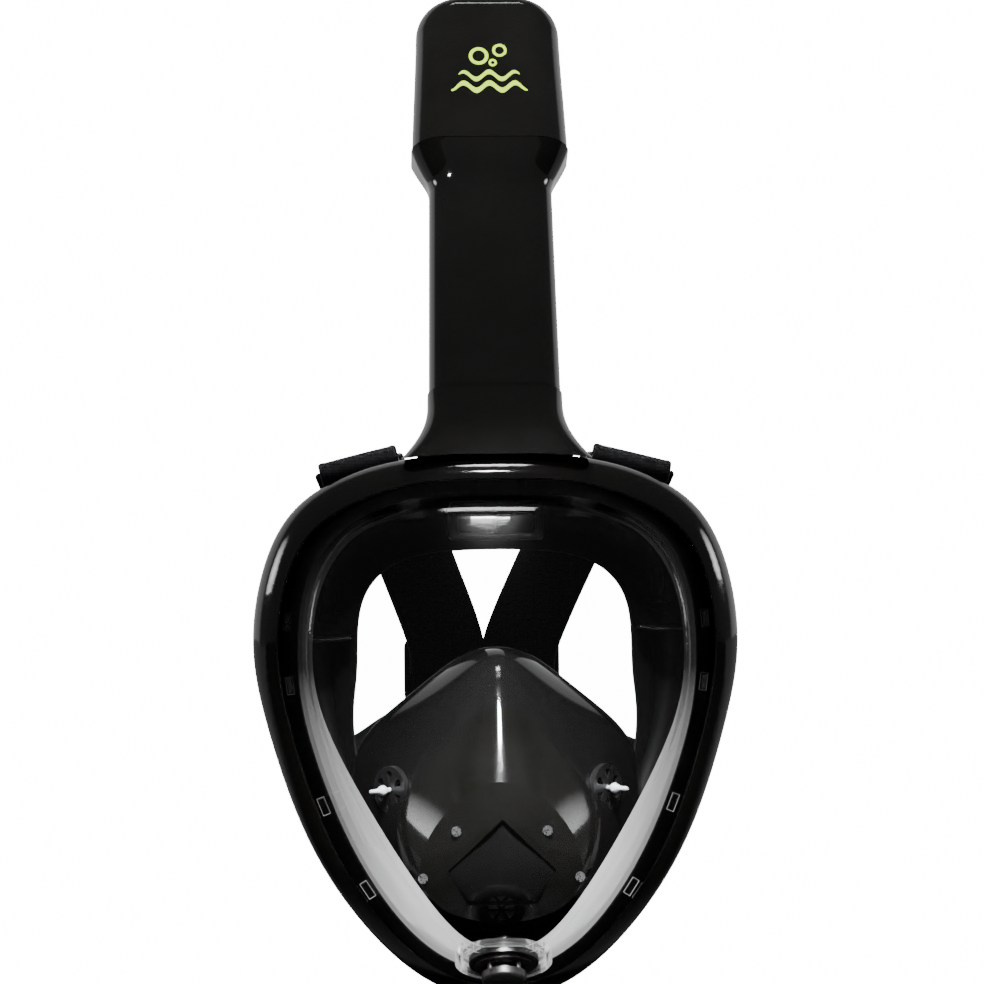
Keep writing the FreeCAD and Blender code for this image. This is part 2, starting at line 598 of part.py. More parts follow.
# ---------------------------------------------------------------- snorkel tube and dry top
def snorkel_tube():
    """The tube: spigot, tapered run and flared head, with two webs that part the air channels."""
    run = loft([rounded_wire(TUBE_FOOT_WIDE, TUBE_DEEP + 0.6, TUBE_CORNER, GAP),
                rounded_wire(TUBE_WIDE, TUBE_DEEP, TUBE_CORNER, TUBE_TOP)], True)
    head = loft([rounded_wire(*s) for s in ((TUBE_WIDE, TUBE_DEEP, TUBE_CORNER, TUBE_TOP),
                                            (51.4, 29.2, 11.2, TUBE_TOP + 4), (56.0, 33, 12, TUBE_TOP + 9),
                                            (61.6, 37.8, 13, TUBE_TOP + 14.5),
                                            (CAP_WIDE + 0.8, CAP_DEEP + 0.6, 13.6, HEAD_TOP))])
    spigot = prism(SPIGOT_WIDE, SPIGOT_DEEP, 8.8, -SPIGOT_DEPTH, GAP)
    shape = run.fuse([head, spigot])
    shape = shape.cut(prism(43.2, 20.4, 6.8, -SPIGOT_DEPTH - 1, TUBE_TOP + 7))
    cavity = loft([rounded_wire(*s) for s in ((43.2, 20.4, 6.8, TUBE_TOP), (49.6, 26.4, 9, TUBE_TOP + 6.5),
                                              (57.6, 34.8, 11.4, HEAD_TOP - 4),
                                              (58.6, 36.2, 11.8, HEAD_TOP + 1))])
    shape = shape.cut(cavity)
    for side in (1, -1):
        web = box((side * 11 - 0.7, -11, -SPIGOT_DEPTH), (side * 11 + 0.7, 11, TUBE_TOP + 4))
        shape = shape.fuse(web)
    groove = box((-3.8, 11.6, -SPIGOT_DEPTH - 1), (3.8, 13, -1.6))
    seal_groove = prism(50, 30, 9, -15.6, -13.4).cut(prism(46.0, 23.2, 8.2, -16, -13))
    return on_snorkel(shape.cut(groove).cut(seal_groove).removeSplitter())


def spigot_seal():
    """The rubber band round the spigot, set into the tube's lower end."""
    band = prism(47.8, 25.0, 9.1, -15.5, -13.5).cut(prism(46.1, 23.3, 8.25, -16, -13))
    return on_snorkel(band.cut(box((-3.8, 11, -16), (3.8, 13, -13))))


def dry_top_deck():
    """The plate across the flared head, with the air opening and the two exhale seats."""
    plate = prism(56.2, 33.4, 10.6, DECK_LOW, DECK_TOP)
    plate = plate.cut(box((-9.4, 4.6, 90), (9.4, 13.6, 120)))
    for side in (1, -1):
        low, high = sorted((side * 14.2, side * 23.4))
        plate = plate.cut(box((low, -7, 90), (high, 7, 120)))
        bar = box((low, -0.6, DECK_LOW), (high, 0.6, DECK_TOP))
        plate = plate.fuse(bar)
    return on_snorkel(plate.removeSplitter())


def exhale_flap():
    """A thin flap over one exhale seat, hinged at its inner edge."""
    low = DECK_TOP + 0.35
    return on_snorkel(box((13.5, -8.4, low), (24.4, 8.4, low + 0.9)))


def float_cage():
    """The float's guide walls, the valve seat plate above it and the riser behind it."""
    low = DECK_TOP
    walls = []
    for side in (1, -1):
        x = sorted((side * 11.4, side * 12.5))
        walls.append(box((x[0], -15.6, low), (x[1], 15.4, SEAT_LOW + 2)))
    partition = box((-11.6, 3.6, low), (11.6, 4.6, SEAT_LOW + 2))
    back = box((-11.6, 14.2, low), (11.6, 15.4, SEAT_LOW + 2))
    plate = box((-12.5, -15.6, SEAT_LOW), (12.5, 15.4, SEAT_LOW + 2))
    plate = plate.cut(box((-10.2, 4.6, 140), (10.2, 14.2, 160)))
    hole = Part.makeCylinder(6.5, 10, Vector(0, -6, SEAT_LOW - 4))
    cage = partition.fuse(walls + [back, plate]).cut(hole)
    for side in (1, -1):
        cage = cage.cut(box((side * 12 - 2, -12, low + 4), (side * 12 + 2, 0.5, low + 26)))
    return on_snorkel(cage.removeSplitter())


def float_body():
    """The buoyant block, with the stub that carries its seal."""
    block = prism(20.6, 16.6, 3.0, FLOAT_LOW, FLOAT_HIGH - 3, -6.2)
    stub = Part.makeCylinder(4.0, 3.0, Vector(0, -6, FLOAT_HIGH - 3))
    return on_snorkel(block.fuse(stub))


def float_seal():
    disc = Part.makeCylinder(8.2, 1.6, Vector(0, -6, FLOAT_HIGH))
    return on_snorkel(disc)


def hood(wide, deep, corner, low, top, dome_high, dome_in):
    """A tapered hood with a domed crown: its sides draw in along a quarter ellipse, its front and back
    only near the top."""
    shoulder = top - dome_high
    upper_wide, upper_deep = wide - 4.2, deep - 4.0
    walls = [(wide, deep, corner, low), (wide - 1.6, deep - 1.6, corner, low + 20),
             (wide - 3.4, deep - 3.2, corner, low + 40), (upper_wide, upper_deep, corner, shoulder)]
    crown = []
    for degrees in (0, 18, 34, 48, 60, 71, 80):
        turn = math.radians(degrees)
        draw = 1 - math.cos(turn)
        crown.append((upper_wide - 2 * dome_in * draw, upper_deep - 1.25 * dome_in * draw ** 2.5,
                      corner - 4 * draw, shoulder + dome_high * math.sin(turn)))
    lower = loft([rounded_wire(*s) for s in walls])
    return lower.fuse(loft([rounded_wire(*s) for s in crown]))


def dry_top_cap():
    """The hood over the float: closed top, open bottom, air slots low in its back."""
    outer = hood(CAP_WIDE, CAP_DEEP, 13.4, HEAD_TOP + GAP, CAP_TOP, CAP_DOME, 15.0)
    inner = hood(CAP_WIDE - 4, CAP_DEEP - 4, 11.4, HEAD_TOP - 1, CAP_TOP - 2.2, CAP_DOME - 0.6, 13.6)
    cap = outer.cut(inner)
    for k in range(4):
        slot = prism(34, 2.6, 1.25, 0, 30)
        slot.rotate(Vector(0, 0, 0), Vector(1, 0, 0), -90)
        slot.translate(Vector(0, 5, HEAD_TOP + 5 + 5.2 * k))
        cap = cap.cut(slot)
    return on_snorkel(cap.removeSplitter())


# ---------------------------------------------------------------- head straps
def strap(path, start_dir, end_dir):
    """A flat band through the points of its centre line, turning from one width direction to another."""
    sections = []
    count = len(path)
    for i, point in enumerate(path):
        share = i / (count - 1)
        across = (Vector(*start_dir) * (1 - share) + Vector(*end_dir) * share).normalize()
        before = Vector(*path[max(0, i - 1)])
        after = Vector(*path[min(count - 1, i + 1)])
        along = (after - before).normalize()
        across = (across - along * across.dot(along)).normalize()
        flat = along.cross(across).normalize()
        a, b = across * (STRAP_WIDE / 2), flat * (STRAP_THICK / 2)
        p = Vector(*point)
        sections.append(Part.makePolygon([p - a - b, p + a - b, p + a + b, p - a + b, p - a - b]))
    return loft(sections)


def strap_pair(name, path, start_dir, end_dir):
    """Right and left bands; their rear ends meet the yoke, which hangs a little to the left."""
    for side, label in ((1, "right"), (-1, "left")):
        points = []
        for i, (x, y, z) in enumerate(path):
            points.append((side * x + YOKE_X * i / (len(path) - 1), y, z))
        parts["%s_%s" % (name, label)] = strap(points, (side * start_dir[0], start_dir[1], start_dir[2]),
                                               (side * end_dir[0], end_dir[1], end_dir[2]))


def strap_yoke():
    """The sewn patch where the four bands meet behind the head."""
    face = Part.Face(Part.makePolygon([Vector(x + YOKE_X, 99.5, z) for x, z in YOKE_OUTLINE]))
    return face.extrude(Vector(0, 3.0, 0))


def mirrored(point, side):
    return Vector(point[0] * side, point[1], point[2])


def strap_clip(side, centre, across, inward):
    """A moulded loop on the frame's back: the bar that the band turns round, on two feet."""
    across = mirrored(across, side).normalize()
    centre = mirrored(centre, side)
    half = STRAP_WIDE / 2 + 0.6
    ends = [centre - across * half, centre + across * half]
    clip = cylinder(1.5, ends[0], ends[1])
    for end in ends:
        base = end + mirrored(inward, side)
        base.y = wrap(base.x, base.z) - FRAME_BACK + 2.0
        foot = cylinder(1.5, end, base).fuse([Part.makeSphere(1.5, end), Part.makeSphere(1.5, base)])
        clip = clip.fuse(foot)
    return clip.removeSplitter()


def build_all():
    parts["front_bezel"] = front_bezel()
    parts["visor_lens"] = visor_lens()
    parts["rear_frame"] = rear_frame()
    parts["face_skirt"] = face_skirt()
    plate, screws, cup = mouth_plate_and_screws(orinasal_cup())
    parts["orinasal_cup"] = cup
    parts["mouth_plate"] = plate
    parts["mouth_plate_screws"] = screws
    for label, place in (("right", lambda s: s), ("left", left_copy)):
        parts["cup_valve_seat_" + label] = place(cup_valve_seat())
        parts["cup_valve_flap_" + label] = place(cup_valve_flap())
        parts["exhale_flap_" + label] = place(exhale_flap())
    parts["purge_valve_body"] = purge_valve_body()
    parts["purge_valve_flap"] = purge_valve_flap()
    parts["purge_valve_cover"] = purge_valve_cover()
    parts["forehead_duct"] = forehead_duct()
    parts["snorkel_socket"] = snorkel_socket()
    parts["socket_gasket"] = socket_gasket()
    parts["release_lever"] = release_lever()
    parts["release_pin"] = release_pin()
    parts["snorkel_tube"] = snorkel_tube()
    parts["spigot_seal"] = spigot_seal()
    parts["dry_top_deck"] = dry_top_deck()
    parts["float_cage"] = float_cage()
    parts["float_body"] = float_body()
    parts["float_seal"] = float_seal()
    parts["dry_top_cap"] = dry_top_cap()
    strap_pair("strap_upper", UPPER_PATH, UPPER_BAR_LINE, (0.96, 0, 0.27))
    strap_pair("strap_lower", LOWER_PATH, LOWER_BAR_LINE, (0.45, 0.2, 0.85))
    parts["strap_yoke"] = strap_yoke()
    for side, label in ((1, "right"), (-1, "left")):
        parts["strap_clip_upper_" + label] = strap_clip(side, UPPER_BAR, UPPER_BAR_LINE, (-3.5, 0, -9.0))
        parts["strap_clip_lower_" + label] = strap_clip(side, LOWER_BAR, LOWER_BAR_LINE, (0, 0, 0))


build_all()
for name, shape in sorted(parts.items()):
    print("%-26s valid %s solids %d volume %8.1f" % (name, shape.isValid(), len(shape.Solids), shape.Volume))
    shape.exportStep("parts/%s.step" % name)
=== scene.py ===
import json
import math

import bmesh
import bpy
import numpy as np
from mathutils import Matrix, Vector
from mathutils.bvhtree import BVHTree


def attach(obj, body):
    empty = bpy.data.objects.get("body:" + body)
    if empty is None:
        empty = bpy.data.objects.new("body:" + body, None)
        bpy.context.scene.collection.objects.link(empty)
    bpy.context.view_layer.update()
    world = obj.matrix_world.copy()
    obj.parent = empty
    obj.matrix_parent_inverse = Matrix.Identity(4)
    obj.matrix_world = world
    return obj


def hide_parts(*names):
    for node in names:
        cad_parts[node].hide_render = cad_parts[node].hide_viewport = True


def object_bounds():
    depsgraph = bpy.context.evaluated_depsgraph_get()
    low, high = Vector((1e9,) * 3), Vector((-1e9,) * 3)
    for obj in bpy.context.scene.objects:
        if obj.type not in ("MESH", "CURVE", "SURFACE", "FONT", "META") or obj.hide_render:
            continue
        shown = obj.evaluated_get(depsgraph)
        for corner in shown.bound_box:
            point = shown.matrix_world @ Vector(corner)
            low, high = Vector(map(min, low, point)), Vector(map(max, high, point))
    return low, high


# A full face snorkel mask dressed for rendering.  Sizes are millimetres, turned to metres by MM.
# +Z is up, -Y is the front, +X is the viewer's right, and the origin is the centre of the face opening.

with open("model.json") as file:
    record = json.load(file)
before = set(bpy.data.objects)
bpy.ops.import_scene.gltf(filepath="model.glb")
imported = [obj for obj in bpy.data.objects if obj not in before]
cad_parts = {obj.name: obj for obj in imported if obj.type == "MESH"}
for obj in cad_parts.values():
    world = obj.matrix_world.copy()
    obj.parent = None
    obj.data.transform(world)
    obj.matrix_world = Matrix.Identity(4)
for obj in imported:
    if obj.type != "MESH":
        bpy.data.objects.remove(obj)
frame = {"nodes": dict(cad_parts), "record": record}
cad_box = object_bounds()
nodes = frame["nodes"]

MM = 0.001

# ---------------------------------------------------------------- outlines, as in the CAD model unless said
WRAP = 380.0               # the mask bends back by x * x / WRAP
CHIN_WRAP = 800.0          # and under CHIN_START also by the depth under it, squared, / CHIN_WRAP
CHIN_START = -60.0
FRAME_EDGE = [(0, 68.6), (30.5, 67.8), (59, 61), (81.3, 46.3), (93.5, 21.8), (97.2, -8),
              (91.6, -39), (79.2, -75.3), (60.8, -107.8), (33, -136), (0, -147)]
LENS_FOOT = [(0, 55.6), (27, 54.6), (50, 48.2), (67.5, 36), (77, 16), (79.4, -8),
             (76.6, -36), (65.3, -71), (49.3, -101.5), (27.3, -125.8), (0, -134.8)]
FACE_EDGE = [(0, 31.5), (24, 30.3), (42.5, 24.5), (53, 12.5), (56, -3), (56.6, -20),
             (58, -38), (54, -63), (42, -86), (23, -102), (0, -108)]
CUP_RIM = [(0, 24, -9), (14, 26, -12.5), (33, 31, -27), (52, 37, -45), (56.5, 36, -66),
           (51, 30, -90), (38, 24, -109), (19, 20, -119.5), (0, 19, -122.5)]
CUP_MIDDLE = [(0, 1, -22), (12, 5, -26), (26, 10, -37), (40, 15, -50), (46, 15, -67),
              (43, 12, -86), (34, 8, -103), (18, 5, -115), (0, 4, -119)]
CUP_FRONT = [(0, -21, -58), (9, -20, -60), (17, -17, -66), (25, -13, -76), (29.5, -11, -87),
             (29, -11, -97), (23, -12, -105), (12, -13, -109.5), (0, -13, -111)]
BROW_LIFT = [(0, 0), (-4.5, 9.5), (0, 16.8), (1, 8), (0, 0)]   # depth and height, rim to front, at the bridge
BROW_SHARE = [1.0, 0.75, 0.3]                                   # how much of it the next points get
CUP_POLE = (0, -24, -84)
CUP_CENTRE = (0, 22, -66)
CUP_TILT = -0.07
CUP_THICK = 2.2
CUP_VALVE = (43.6, 11.8, -63.5)
CUP_VALVE_AXIS = (0.76, -0.65, 0.0)
PURGE_CENTRE = (0, -26, -126.6)
PURGE_AXIS = (0, -0.5, -0.866)
PURGE_FLOOR = -3.5
UPPER_BAR = (54, 21, 64.5)
UPPER_BAR_LINE = (0.97, 0, -0.24)
# At the yoke the bands' paths differ a little from the CAD model's and run on for 12 to 14 mm more.
UPPER_PATH = [(50, 46, 62), (37, 75, 42), (26, 89.5, 17), (16.4, 96.6, -8), (14.4, 98.3, -22)]
UPPER_END_LINE = (0.96, 0, 0.27)
LOWER_BAR = (74, 37, -72)
LOWER_BAR_LINE = (0.4, 0, 0.92)
LOWER_PATH = [(73, 56, -71), (63, 74, -67.5), (47, 88, -61), (33, 96.3, -53), (20, 98.3, -48)]
LOWER_END_LINE = (0.45, 0.2, 0.85)
STRAP_WIDE = 32.0
YOKE_X = -3.5              # how far the yoke hangs to the left (6.5 in the CAD model)
YOKE_LOW = 99.5            # depth of its front face and of its back face
YOKE_HIGH = 102.5
YOKE_OUTLINE = [(-33, -8), (33, -8), (33, -34), (27, -46), (33, -62), (20, -72), (-20, -72), (-33, -62),
                (-27, -46), (-33, -34)]
YOKE_CORNER = 4.0
YOKE_CORNER_STEPS = 5
BAND_THICK = 1.9           # 2.4 in the CAD model
BAR_TURN = 4.0             # radius of the webbing's turn round a clip's bar
TAIL = [(30, -2.6), (20, -2.4), (10, -2.9)]    # the sewn tail: along the run and up, from the bar
RUN_START = (9, 2.0)                            # where the run leaves the bar, measured the same way
LEAN = math.radians(20)
SEAM = (19.5, 91.5)        # y and z of the seam between socket and tube
DECK_TOP = 102.5
EMBLEM_HEIGHT = 137.0      # up the snorkel's axis from the seam
EMBLEM_SCALE = 1.3

# ---------------------------------------------------------------- camera and light
CAMERA_DISTANCE = 1200.0
CAMERA_AZIMUTH = -2.0      # degrees; negative puts the camera on the left
CAMERA_ROLL = -0.5
AIM = Vector((-2.0, 0.0, 54.0))
VIEW_WIDTH = 385.7         # millimetres across the picture at the origin's depth


def point_at(thing, target, roll=0.0):
    direction = target - thing.location
    turn = direction.to_track_quat("-Z", "Y").to_matrix() @ Matrix.Rotation(math.radians(roll), 3, "Z")
    thing.rotation_euler = turn.to_euler()


def make_camera():
    data = bpy.data.cameras.new("camera")
    data.angle = 2 * math.atan(VIEW_WIDTH / 2 / CAMERA_DISTANCE)
    data.clip_start = 0.05
    camera = bpy.data.objects.new("camera", data)
    bpy.context.scene.collection.objects.link(camera)
    turn = math.radians(CAMERA_AZIMUTH)
    offset = Vector((math.sin(turn), -math.cos(turn), 0)) * CAMERA_DISTANCE
    camera.location = (AIM + offset) * MM
    point_at(camera, AIM * MM, CAMERA_ROLL)
    bpy.context.scene.camera = camera


def softbox(name, place, target, wide, high, watts, spread):
    """An area light; a spread under 180 degrees keeps its light off what is beside its target."""
    data = bpy.data.lights.new(name, "AREA")
    data.shape = "RECTANGLE"
    data.size = wide
    data.size_y = high
    data.energy = watts
    data.spread = math.radians(spread)
    lamp = bpy.data.objects.new(name, data)
    bpy.context.scene.collection.objects.link(lamp)
    lamp.location = place
    lamp.visible_camera = False
    point_at(lamp, Vector(target))


WHITE = 16.0               # what the camera sees behind the object
BRIGHT = 0.8               # the brightest part of the surroundings, as light
# How bright the surroundings are as a share of BRIGHT, by the direction's Y: 0 is square to the side, 1 is
# straight behind.  Under the first stop they stay dim, over the second they stay bright.
BACKLIGHT = [(0.3, 0.16), (0.45, 1.0)]
FLOOR_HALF = 3.0           # metres
FLOOR_GAP = 0.002          # metres under the object
FLOOR_FADE = (0.08, 0.25)  # metres behind the origin over which the floor turns from dark to pale
FLOOR_TONES = (0.02, 0.8)
# Name, place, target, width, height (metres), power (watts) and spread (degrees) of each light.
LIGHTS = [
    ("crown_softbox", (0.0, -0.08, 0.42), (0, -0.01, -0.05), 0.13, 0.16, 0.13, 30.0),
    ("nose_softbox", (0.0, -0.32, 0.33), (0, -0.02, -0.08), 0.07, 0.07, 0.5, 24.0),
    ("top_softbox", (0.0, 0.25, 1.05), (0, 0.02, 0.0), 0.6, 0.3, 0.25, 180.0),
    ("cap_softbox", (-0.4, -0.9, 0.45), (0, 0.04, 0.26), 0.15, 0.15, 0.22, 11.0),
    ("left_softbox", (-1.2, 0.15, 0.42), (0, 0, 0.26), 0.35, 0.6, 0.12, 22.0),
    ("right_softbox", (1.2, 0.15, 0.42), (0, 0, 0.26), 0.35, 0.6, 0.12, 22.0),
]


def camera_only(tree, first, second):
    """Chooses the second shader for what the camera sees directly, the first for all other light."""
    path = tree.nodes.new("ShaderNodeLightPath")
    mix = tree.nodes.new("ShaderNodeMixShader")
    tree.links.new(path.outputs["Is Camera Ray"], mix.inputs["Fac"])
    tree.links.new(first, mix.inputs[1])
    tree.links.new(second, mix.inputs[2])
    return mix.outputs["Shader"]


def make_world():
    """White to look at; as light, bright behind the object and dim at its sides and in front."""
    world = bpy.data.worlds.new("studio")
    bpy.context.scene.world = world
    world.use_nodes = True
    tree = world.node_tree
    light = tree.nodes["Background"]
    coords = tree.nodes.new("ShaderNodeTexCoord")
    parts = tree.nodes.new("ShaderNodeSeparateXYZ")
    tree.links.new(coords.outputs["Generated"], parts.inputs["Vector"])
    fade = tree.nodes.new("ShaderNodeValToRGB")
    for stop, (place, value) in zip(fade.color_ramp.elements, BACKLIGHT):
        stop.position = place
        stop.color = (value, value, value, 1)
    tree.links.new(parts.outputs["Y"], fade.inputs["Fac"])
    tree.links.new(fade.outputs["Color"], light.inputs["Color"])
    light.inputs["Strength"].default_value = BRIGHT
    seen = tree.nodes.new("ShaderNodeBackground")
    seen.inputs["Color"].default_value = (1, 1, 1, 1)
    seen.inputs["Strength"].default_value = WHITE
    out = tree.nodes["World Output"]
    surface = camera_only(tree, light.outputs["Background"], seen.outputs["Background"])
    tree.links.new(surface, out.inputs["Surface"])


def make_floor():
    """A floor under the object, white to the camera; as light, pale behind the object and dark in front."""
    low = cad_box[0][2] - FLOOR_GAP
    half = FLOOR_HALF
    corners = [(-half, -half, low), (half, -half, low), (half, half, low), (-half, half, low)]
    mesh = bpy.data.meshes.new("floor")
    mesh.from_pydata(corners, [], [(0, 1, 2, 3)])
    floor = bpy.data.objects.new("floor", mesh)
    bpy.context.scene.collection.objects.link(floor)
    material = bpy.data.materials.new("floor")
    material.use_nodes = True
    tree = material.node_tree
    shader = tree.nodes["Principled BSDF"]
    shader.inputs["Roughness"].default_value = 0.9
    coords = tree.nodes.new("ShaderNodeTexCoord")
    parts = tree.nodes.new("ShaderNodeSeparateXYZ")
    tree.links.new(coords.outputs["Object"], parts.inputs["Vector"])
    fade = tree.nodes.new("ShaderNodeMapRange")
    for name, value in zip(("From Min", "From Max", "To Min", "To Max"), FLOOR_FADE + FLOOR_TONES):
        fade.inputs[name].default_value = value
    tree.links.new(parts.outputs["Y"], fade.inputs["Value"])
    tree.links.new(fade.outputs["Result"], shader.inputs["Base Color"])
    seen = tree.nodes.new("ShaderNodeEmission")
    seen.inputs["Strength"].default_value = WHITE
    tree.links.new(camera_only(tree, shader.outputs["BSDF"], seen.outputs["Emission"]),
                   tree.nodes["Material Output"].inputs["Surface"])
    mesh.materials.append(material)


# ---------------------------------------------------------------- materials
class Nodes:
    """A short way to write a material's node tree."""

    def __init__(self, name):
        self.material = bpy.data.materials.new(name)
        self.material.use_nodes = True
        self.tree = self.material.node_tree
        self.shader = self.tree.nodes["Principled BSDF"]
        self.output = self.tree.nodes["Material Output"]
        self.coords = self.add("ShaderNodeTexCoord")

    def add(self, kind, **values):
        node = self.tree.nodes.new(kind)
        for key, value in values.items():
            setattr(node, key, value)
        return node

    def link(self, start, end):
        self.tree.links.new(start, end)

    def set(self, **values):
        for key, value in values.items():
            self.shader.inputs[key.replace("_", " ")].default_value = value

    def noise(self, scale, detail=3.0, roughness=0.5):
        node = self.add("ShaderNodeTexNoise")
        node.inputs["Scale"].default_value = scale
        node.inputs["Detail"].default_value = detail
        node.inputs["Roughness"].default_value = roughness
        self.link(self.coords.outputs["Object"], node.inputs["Vector"])
        return node.outputs["Fac"]

    def wave(self, direction, scale, distortion=0.6):
        node = self.add("ShaderNodeTexWave", bands_direction=direction)
        node.inputs["Scale"].default_value = scale
        node.inputs["Distortion"].default_value = distortion
        self.link(self.coords.outputs["Object"], node.inputs["Vector"])
        return node.outputs["Fac"]

    def spread(self, value, low, high, start=0.3, end=0.7):
        """Maps a value from start..end onto low..high."""
        node = self.add("ShaderNodeMapRange")
        node.inputs["From Min"].default_value = start
        node.inputs["From Max"].default_value = end
        node.inputs["To Min"].default_value = low
        node.inputs["To Max"].default_value = high
        self.link(value, node.inputs["Value"])
        return node.outputs["Result"]

    def colours(self, value, first, second, start=0.3, end=0.7):
        node = self.add("ShaderNodeValToRGB")
        node.color_ramp.elements[0].position = start
        node.color_ramp.elements[0].color = (*first, 1)
        node.color_ramp.elements[1].position = end
        node.color_ramp.elements[1].color = (*second, 1)
        self.link(value, node.inputs["Fac"])
        return node.outputs["Color"]

    def math(self, operation, first, second):
        node = self.add("ShaderNodeMath", operation=operation)
        for socket, value in zip(node.inputs, (first, second)):
            if isinstance(value, (int, float)):
                socket.default_value = value
            else:
                self.link(value, socket)
        return node.outputs["Value"]

    def bump(self, height, strength, distance, under=None):
        node = self.add("ShaderNodeBump")
        node.inputs["Strength"].default_value = strength
        node.inputs["Distance"].default_value = distance
        self.link(height, node.inputs["Height"])
        if under is not None:
            self.link(under, node.inputs["Normal"])
        return node.outputs["Normal"]

    def mixed(self, share, first, second):
        node = self.add("ShaderNodeMixShader")
        self.link(share, node.inputs["Fac"])
        self.link(first, node.inputs[1])
        self.link(second, node.inputs[2])
        return node.outputs["Shader"]

    def into(self, socket, value):
        self.link(value, self.shader.inputs[socket])


def plastic(name, dark, light, rough, grain=0.0, grain_scale=2600.0, coat=0.0):
    """Moulded plastic: slight tone and gloss variation, fine scuffs, and grain where it has any."""
    n = Nodes(name)
    broad = n.noise(34.0, 4.0, 0.55)
    fine = n.noise(900.0, 2.0)
    n.into("Base Color", n.colours(broad, dark, light))
    scuffs = n.spread(fine, -rough * 0.12, rough * 0.12)
    n.into("Roughness", n.math("ADD", n.spread(broad, rough * 0.75, rough * 1.2), scuffs))
    ripple = n.bump(n.noise(55.0, 1.0), 0.05, 0.0006)
    n.into("Normal", n.bump(n.noise(grain_scale, 2.0), grain, 0.00008, ripple) if grain else ripple)
    n.set(IOR=1.5, Coat_Weight=coat, Coat_Roughness=0.04)
    return n.material


def silicone(name, dark, light, rough, sheen=0.0, grain=0.25):
    """Soft moulded rubber: a fine satin texture with faint handling marks."""
    n = Nodes(name)
    broad = n.noise(28.0, 5.0, 0.6)
    n.into("Base Color", n.colours(broad, dark, light))
    n.into("Roughness", n.spread(n.noise(120.0, 4.0), rough * 0.82, rough * 1.15))
    waves = n.bump(n.noise(90.0, 2.0), grain * 0.6, 0.0004)
    n.into("Normal", n.bump(n.noise(3200.0, 2.0), grain, 0.00005, waves))
    n.set(IOR=1.42, Sheen_Weight=sheen, Sheen_Roughness=0.4)
    return n.material


def woven(name, dark, light):
    """Elastic webbing: fine ribs along and across, a soft sheen and a little fuzz."""
    n = Nodes(name)
    across = n.math("MULTIPLY", n.wave("X", 330.0), n.wave("Z", 260.0))
    weave = n.math("ADD", across, n.math("MULTIPLY", n.wave("Y", 260.0), 0.5))
    fuzz = n.noise(2400.0, 3.0)
    tone = n.math("ADD", n.math("MULTIPLY", weave, 0.45), n.math("MULTIPLY", n.noise(60.0, 4.0), 0.6))
    n.into("Base Color", n.colours(tone, dark, light, 0.2, 0.85))
    n.into("Roughness", n.spread(fuzz, 0.72, 0.95))
    n.into("Normal", n.bump(weave, 0.55, 0.00025, n.bump(fuzz, 0.35, 0.0001)))
    n.set(IOR=1.4, Sheen_Weight=0.25, Sheen_Roughness=0.35)
    return n.material


LENS_TINT = (0.97, 0.975, 0.975)
LENS_IOR = 1.25            # well under a real lens's, which keeps reflections on the pane faint
# Painted light: towards the chin the walls seen edge on are drawn translucent white with a glow, in place of
# the bright surroundings they reflect.
WALL_GLOW_TINT = (0.9, 0.92, 0.92)
WALL_GLOW_STRENGTH = 0.7            # strength of the walls' painted glow
WALL_GLOW_SHARES = (0.9, 0.03)  # how much painted glow the walls get at the chin and at the eyes
WALL_GLOW_HEIGHTS = (-0.09, -0.015)  # heights in metres between which the one fades to the other
WALL_GLOW_FACING = (0.6, 0.95)  # from face on (0) to edge on (1), where the painted glow starts and where it is full


def clear_plastic(name, tint):
    """Clear plastic: see-through face on, a mirror at a glance.  Towards the chin the walls seen edge on are
    painted translucent white with a glow, which stands in for the bright surroundings they reflect."""
    n = Nodes(name)
    n.tree.nodes.remove(n.shader)
    clear = n.add("ShaderNodeBsdfTransparent")
    clear.inputs["Color"].default_value = (*tint, 1)
    mirror = n.add("ShaderNodeBsdfGlossy")
    mirror.inputs["Color"].default_value = (1, 1, 1, 1)
    mirror.inputs["Roughness"].default_value = 0.07
    fresnel = n.add("ShaderNodeFresnel")
    fresnel.inputs["IOR"].default_value = LENS_IOR
    pane = n.mixed(fresnel.outputs["Fac"], clear.outputs["BSDF"], mirror.outputs["BSDF"])
    # Painted light: translucent white plus a glow on the edge-on walls, in place of the surroundings they
    # reflect.
    painted_wall_white = n.add("ShaderNodeBsdfTranslucent")
    painted_wall_white.inputs["Color"].default_value = (*WALL_GLOW_TINT, 1)
    parts = n.add("ShaderNodeSeparateXYZ")
    n.link(n.coords.outputs["Object"], parts.inputs["Vector"])
    glow = n.add("ShaderNodeEmission")
    glow.inputs["Strength"].default_value = WALL_GLOW_STRENGTH
    painted_wall_light = n.add("ShaderNodeAddShader")
    n.link(painted_wall_white.outputs["BSDF"], painted_wall_light.inputs[0])
    n.link(glow.outputs["Emission"], painted_wall_light.inputs[1])
    edge = n.add("ShaderNodeLayerWeight")
    edge.inputs["Blend"].default_value = 0.5
    low = n.spread(parts.outputs["Z"], *WALL_GLOW_SHARES, *WALL_GLOW_HEIGHTS)
    share = n.math("MULTIPLY", low, n.spread(edge.outputs["Facing"], 0.0, 1.0, *WALL_GLOW_FACING))
    n.link(n.mixed(share, pane, painted_wall_light.outputs["Shader"]), n.output.inputs["Surface"])
    return n.material


def steel(name):
    n = Nodes(name)
    n.set(Metallic=1.0)
    n.into("Base Color", n.colours(n.noise(300.0), (0.55, 0.55, 0.56), (0.78, 0.78, 0.79)))
    n.into("Roughness", n.spread(n.noise(1500.0), 0.22, 0.38))
    n.into("Normal", n.bump(n.noise(2600.0), 0.15, 0.00004))
    return n.material


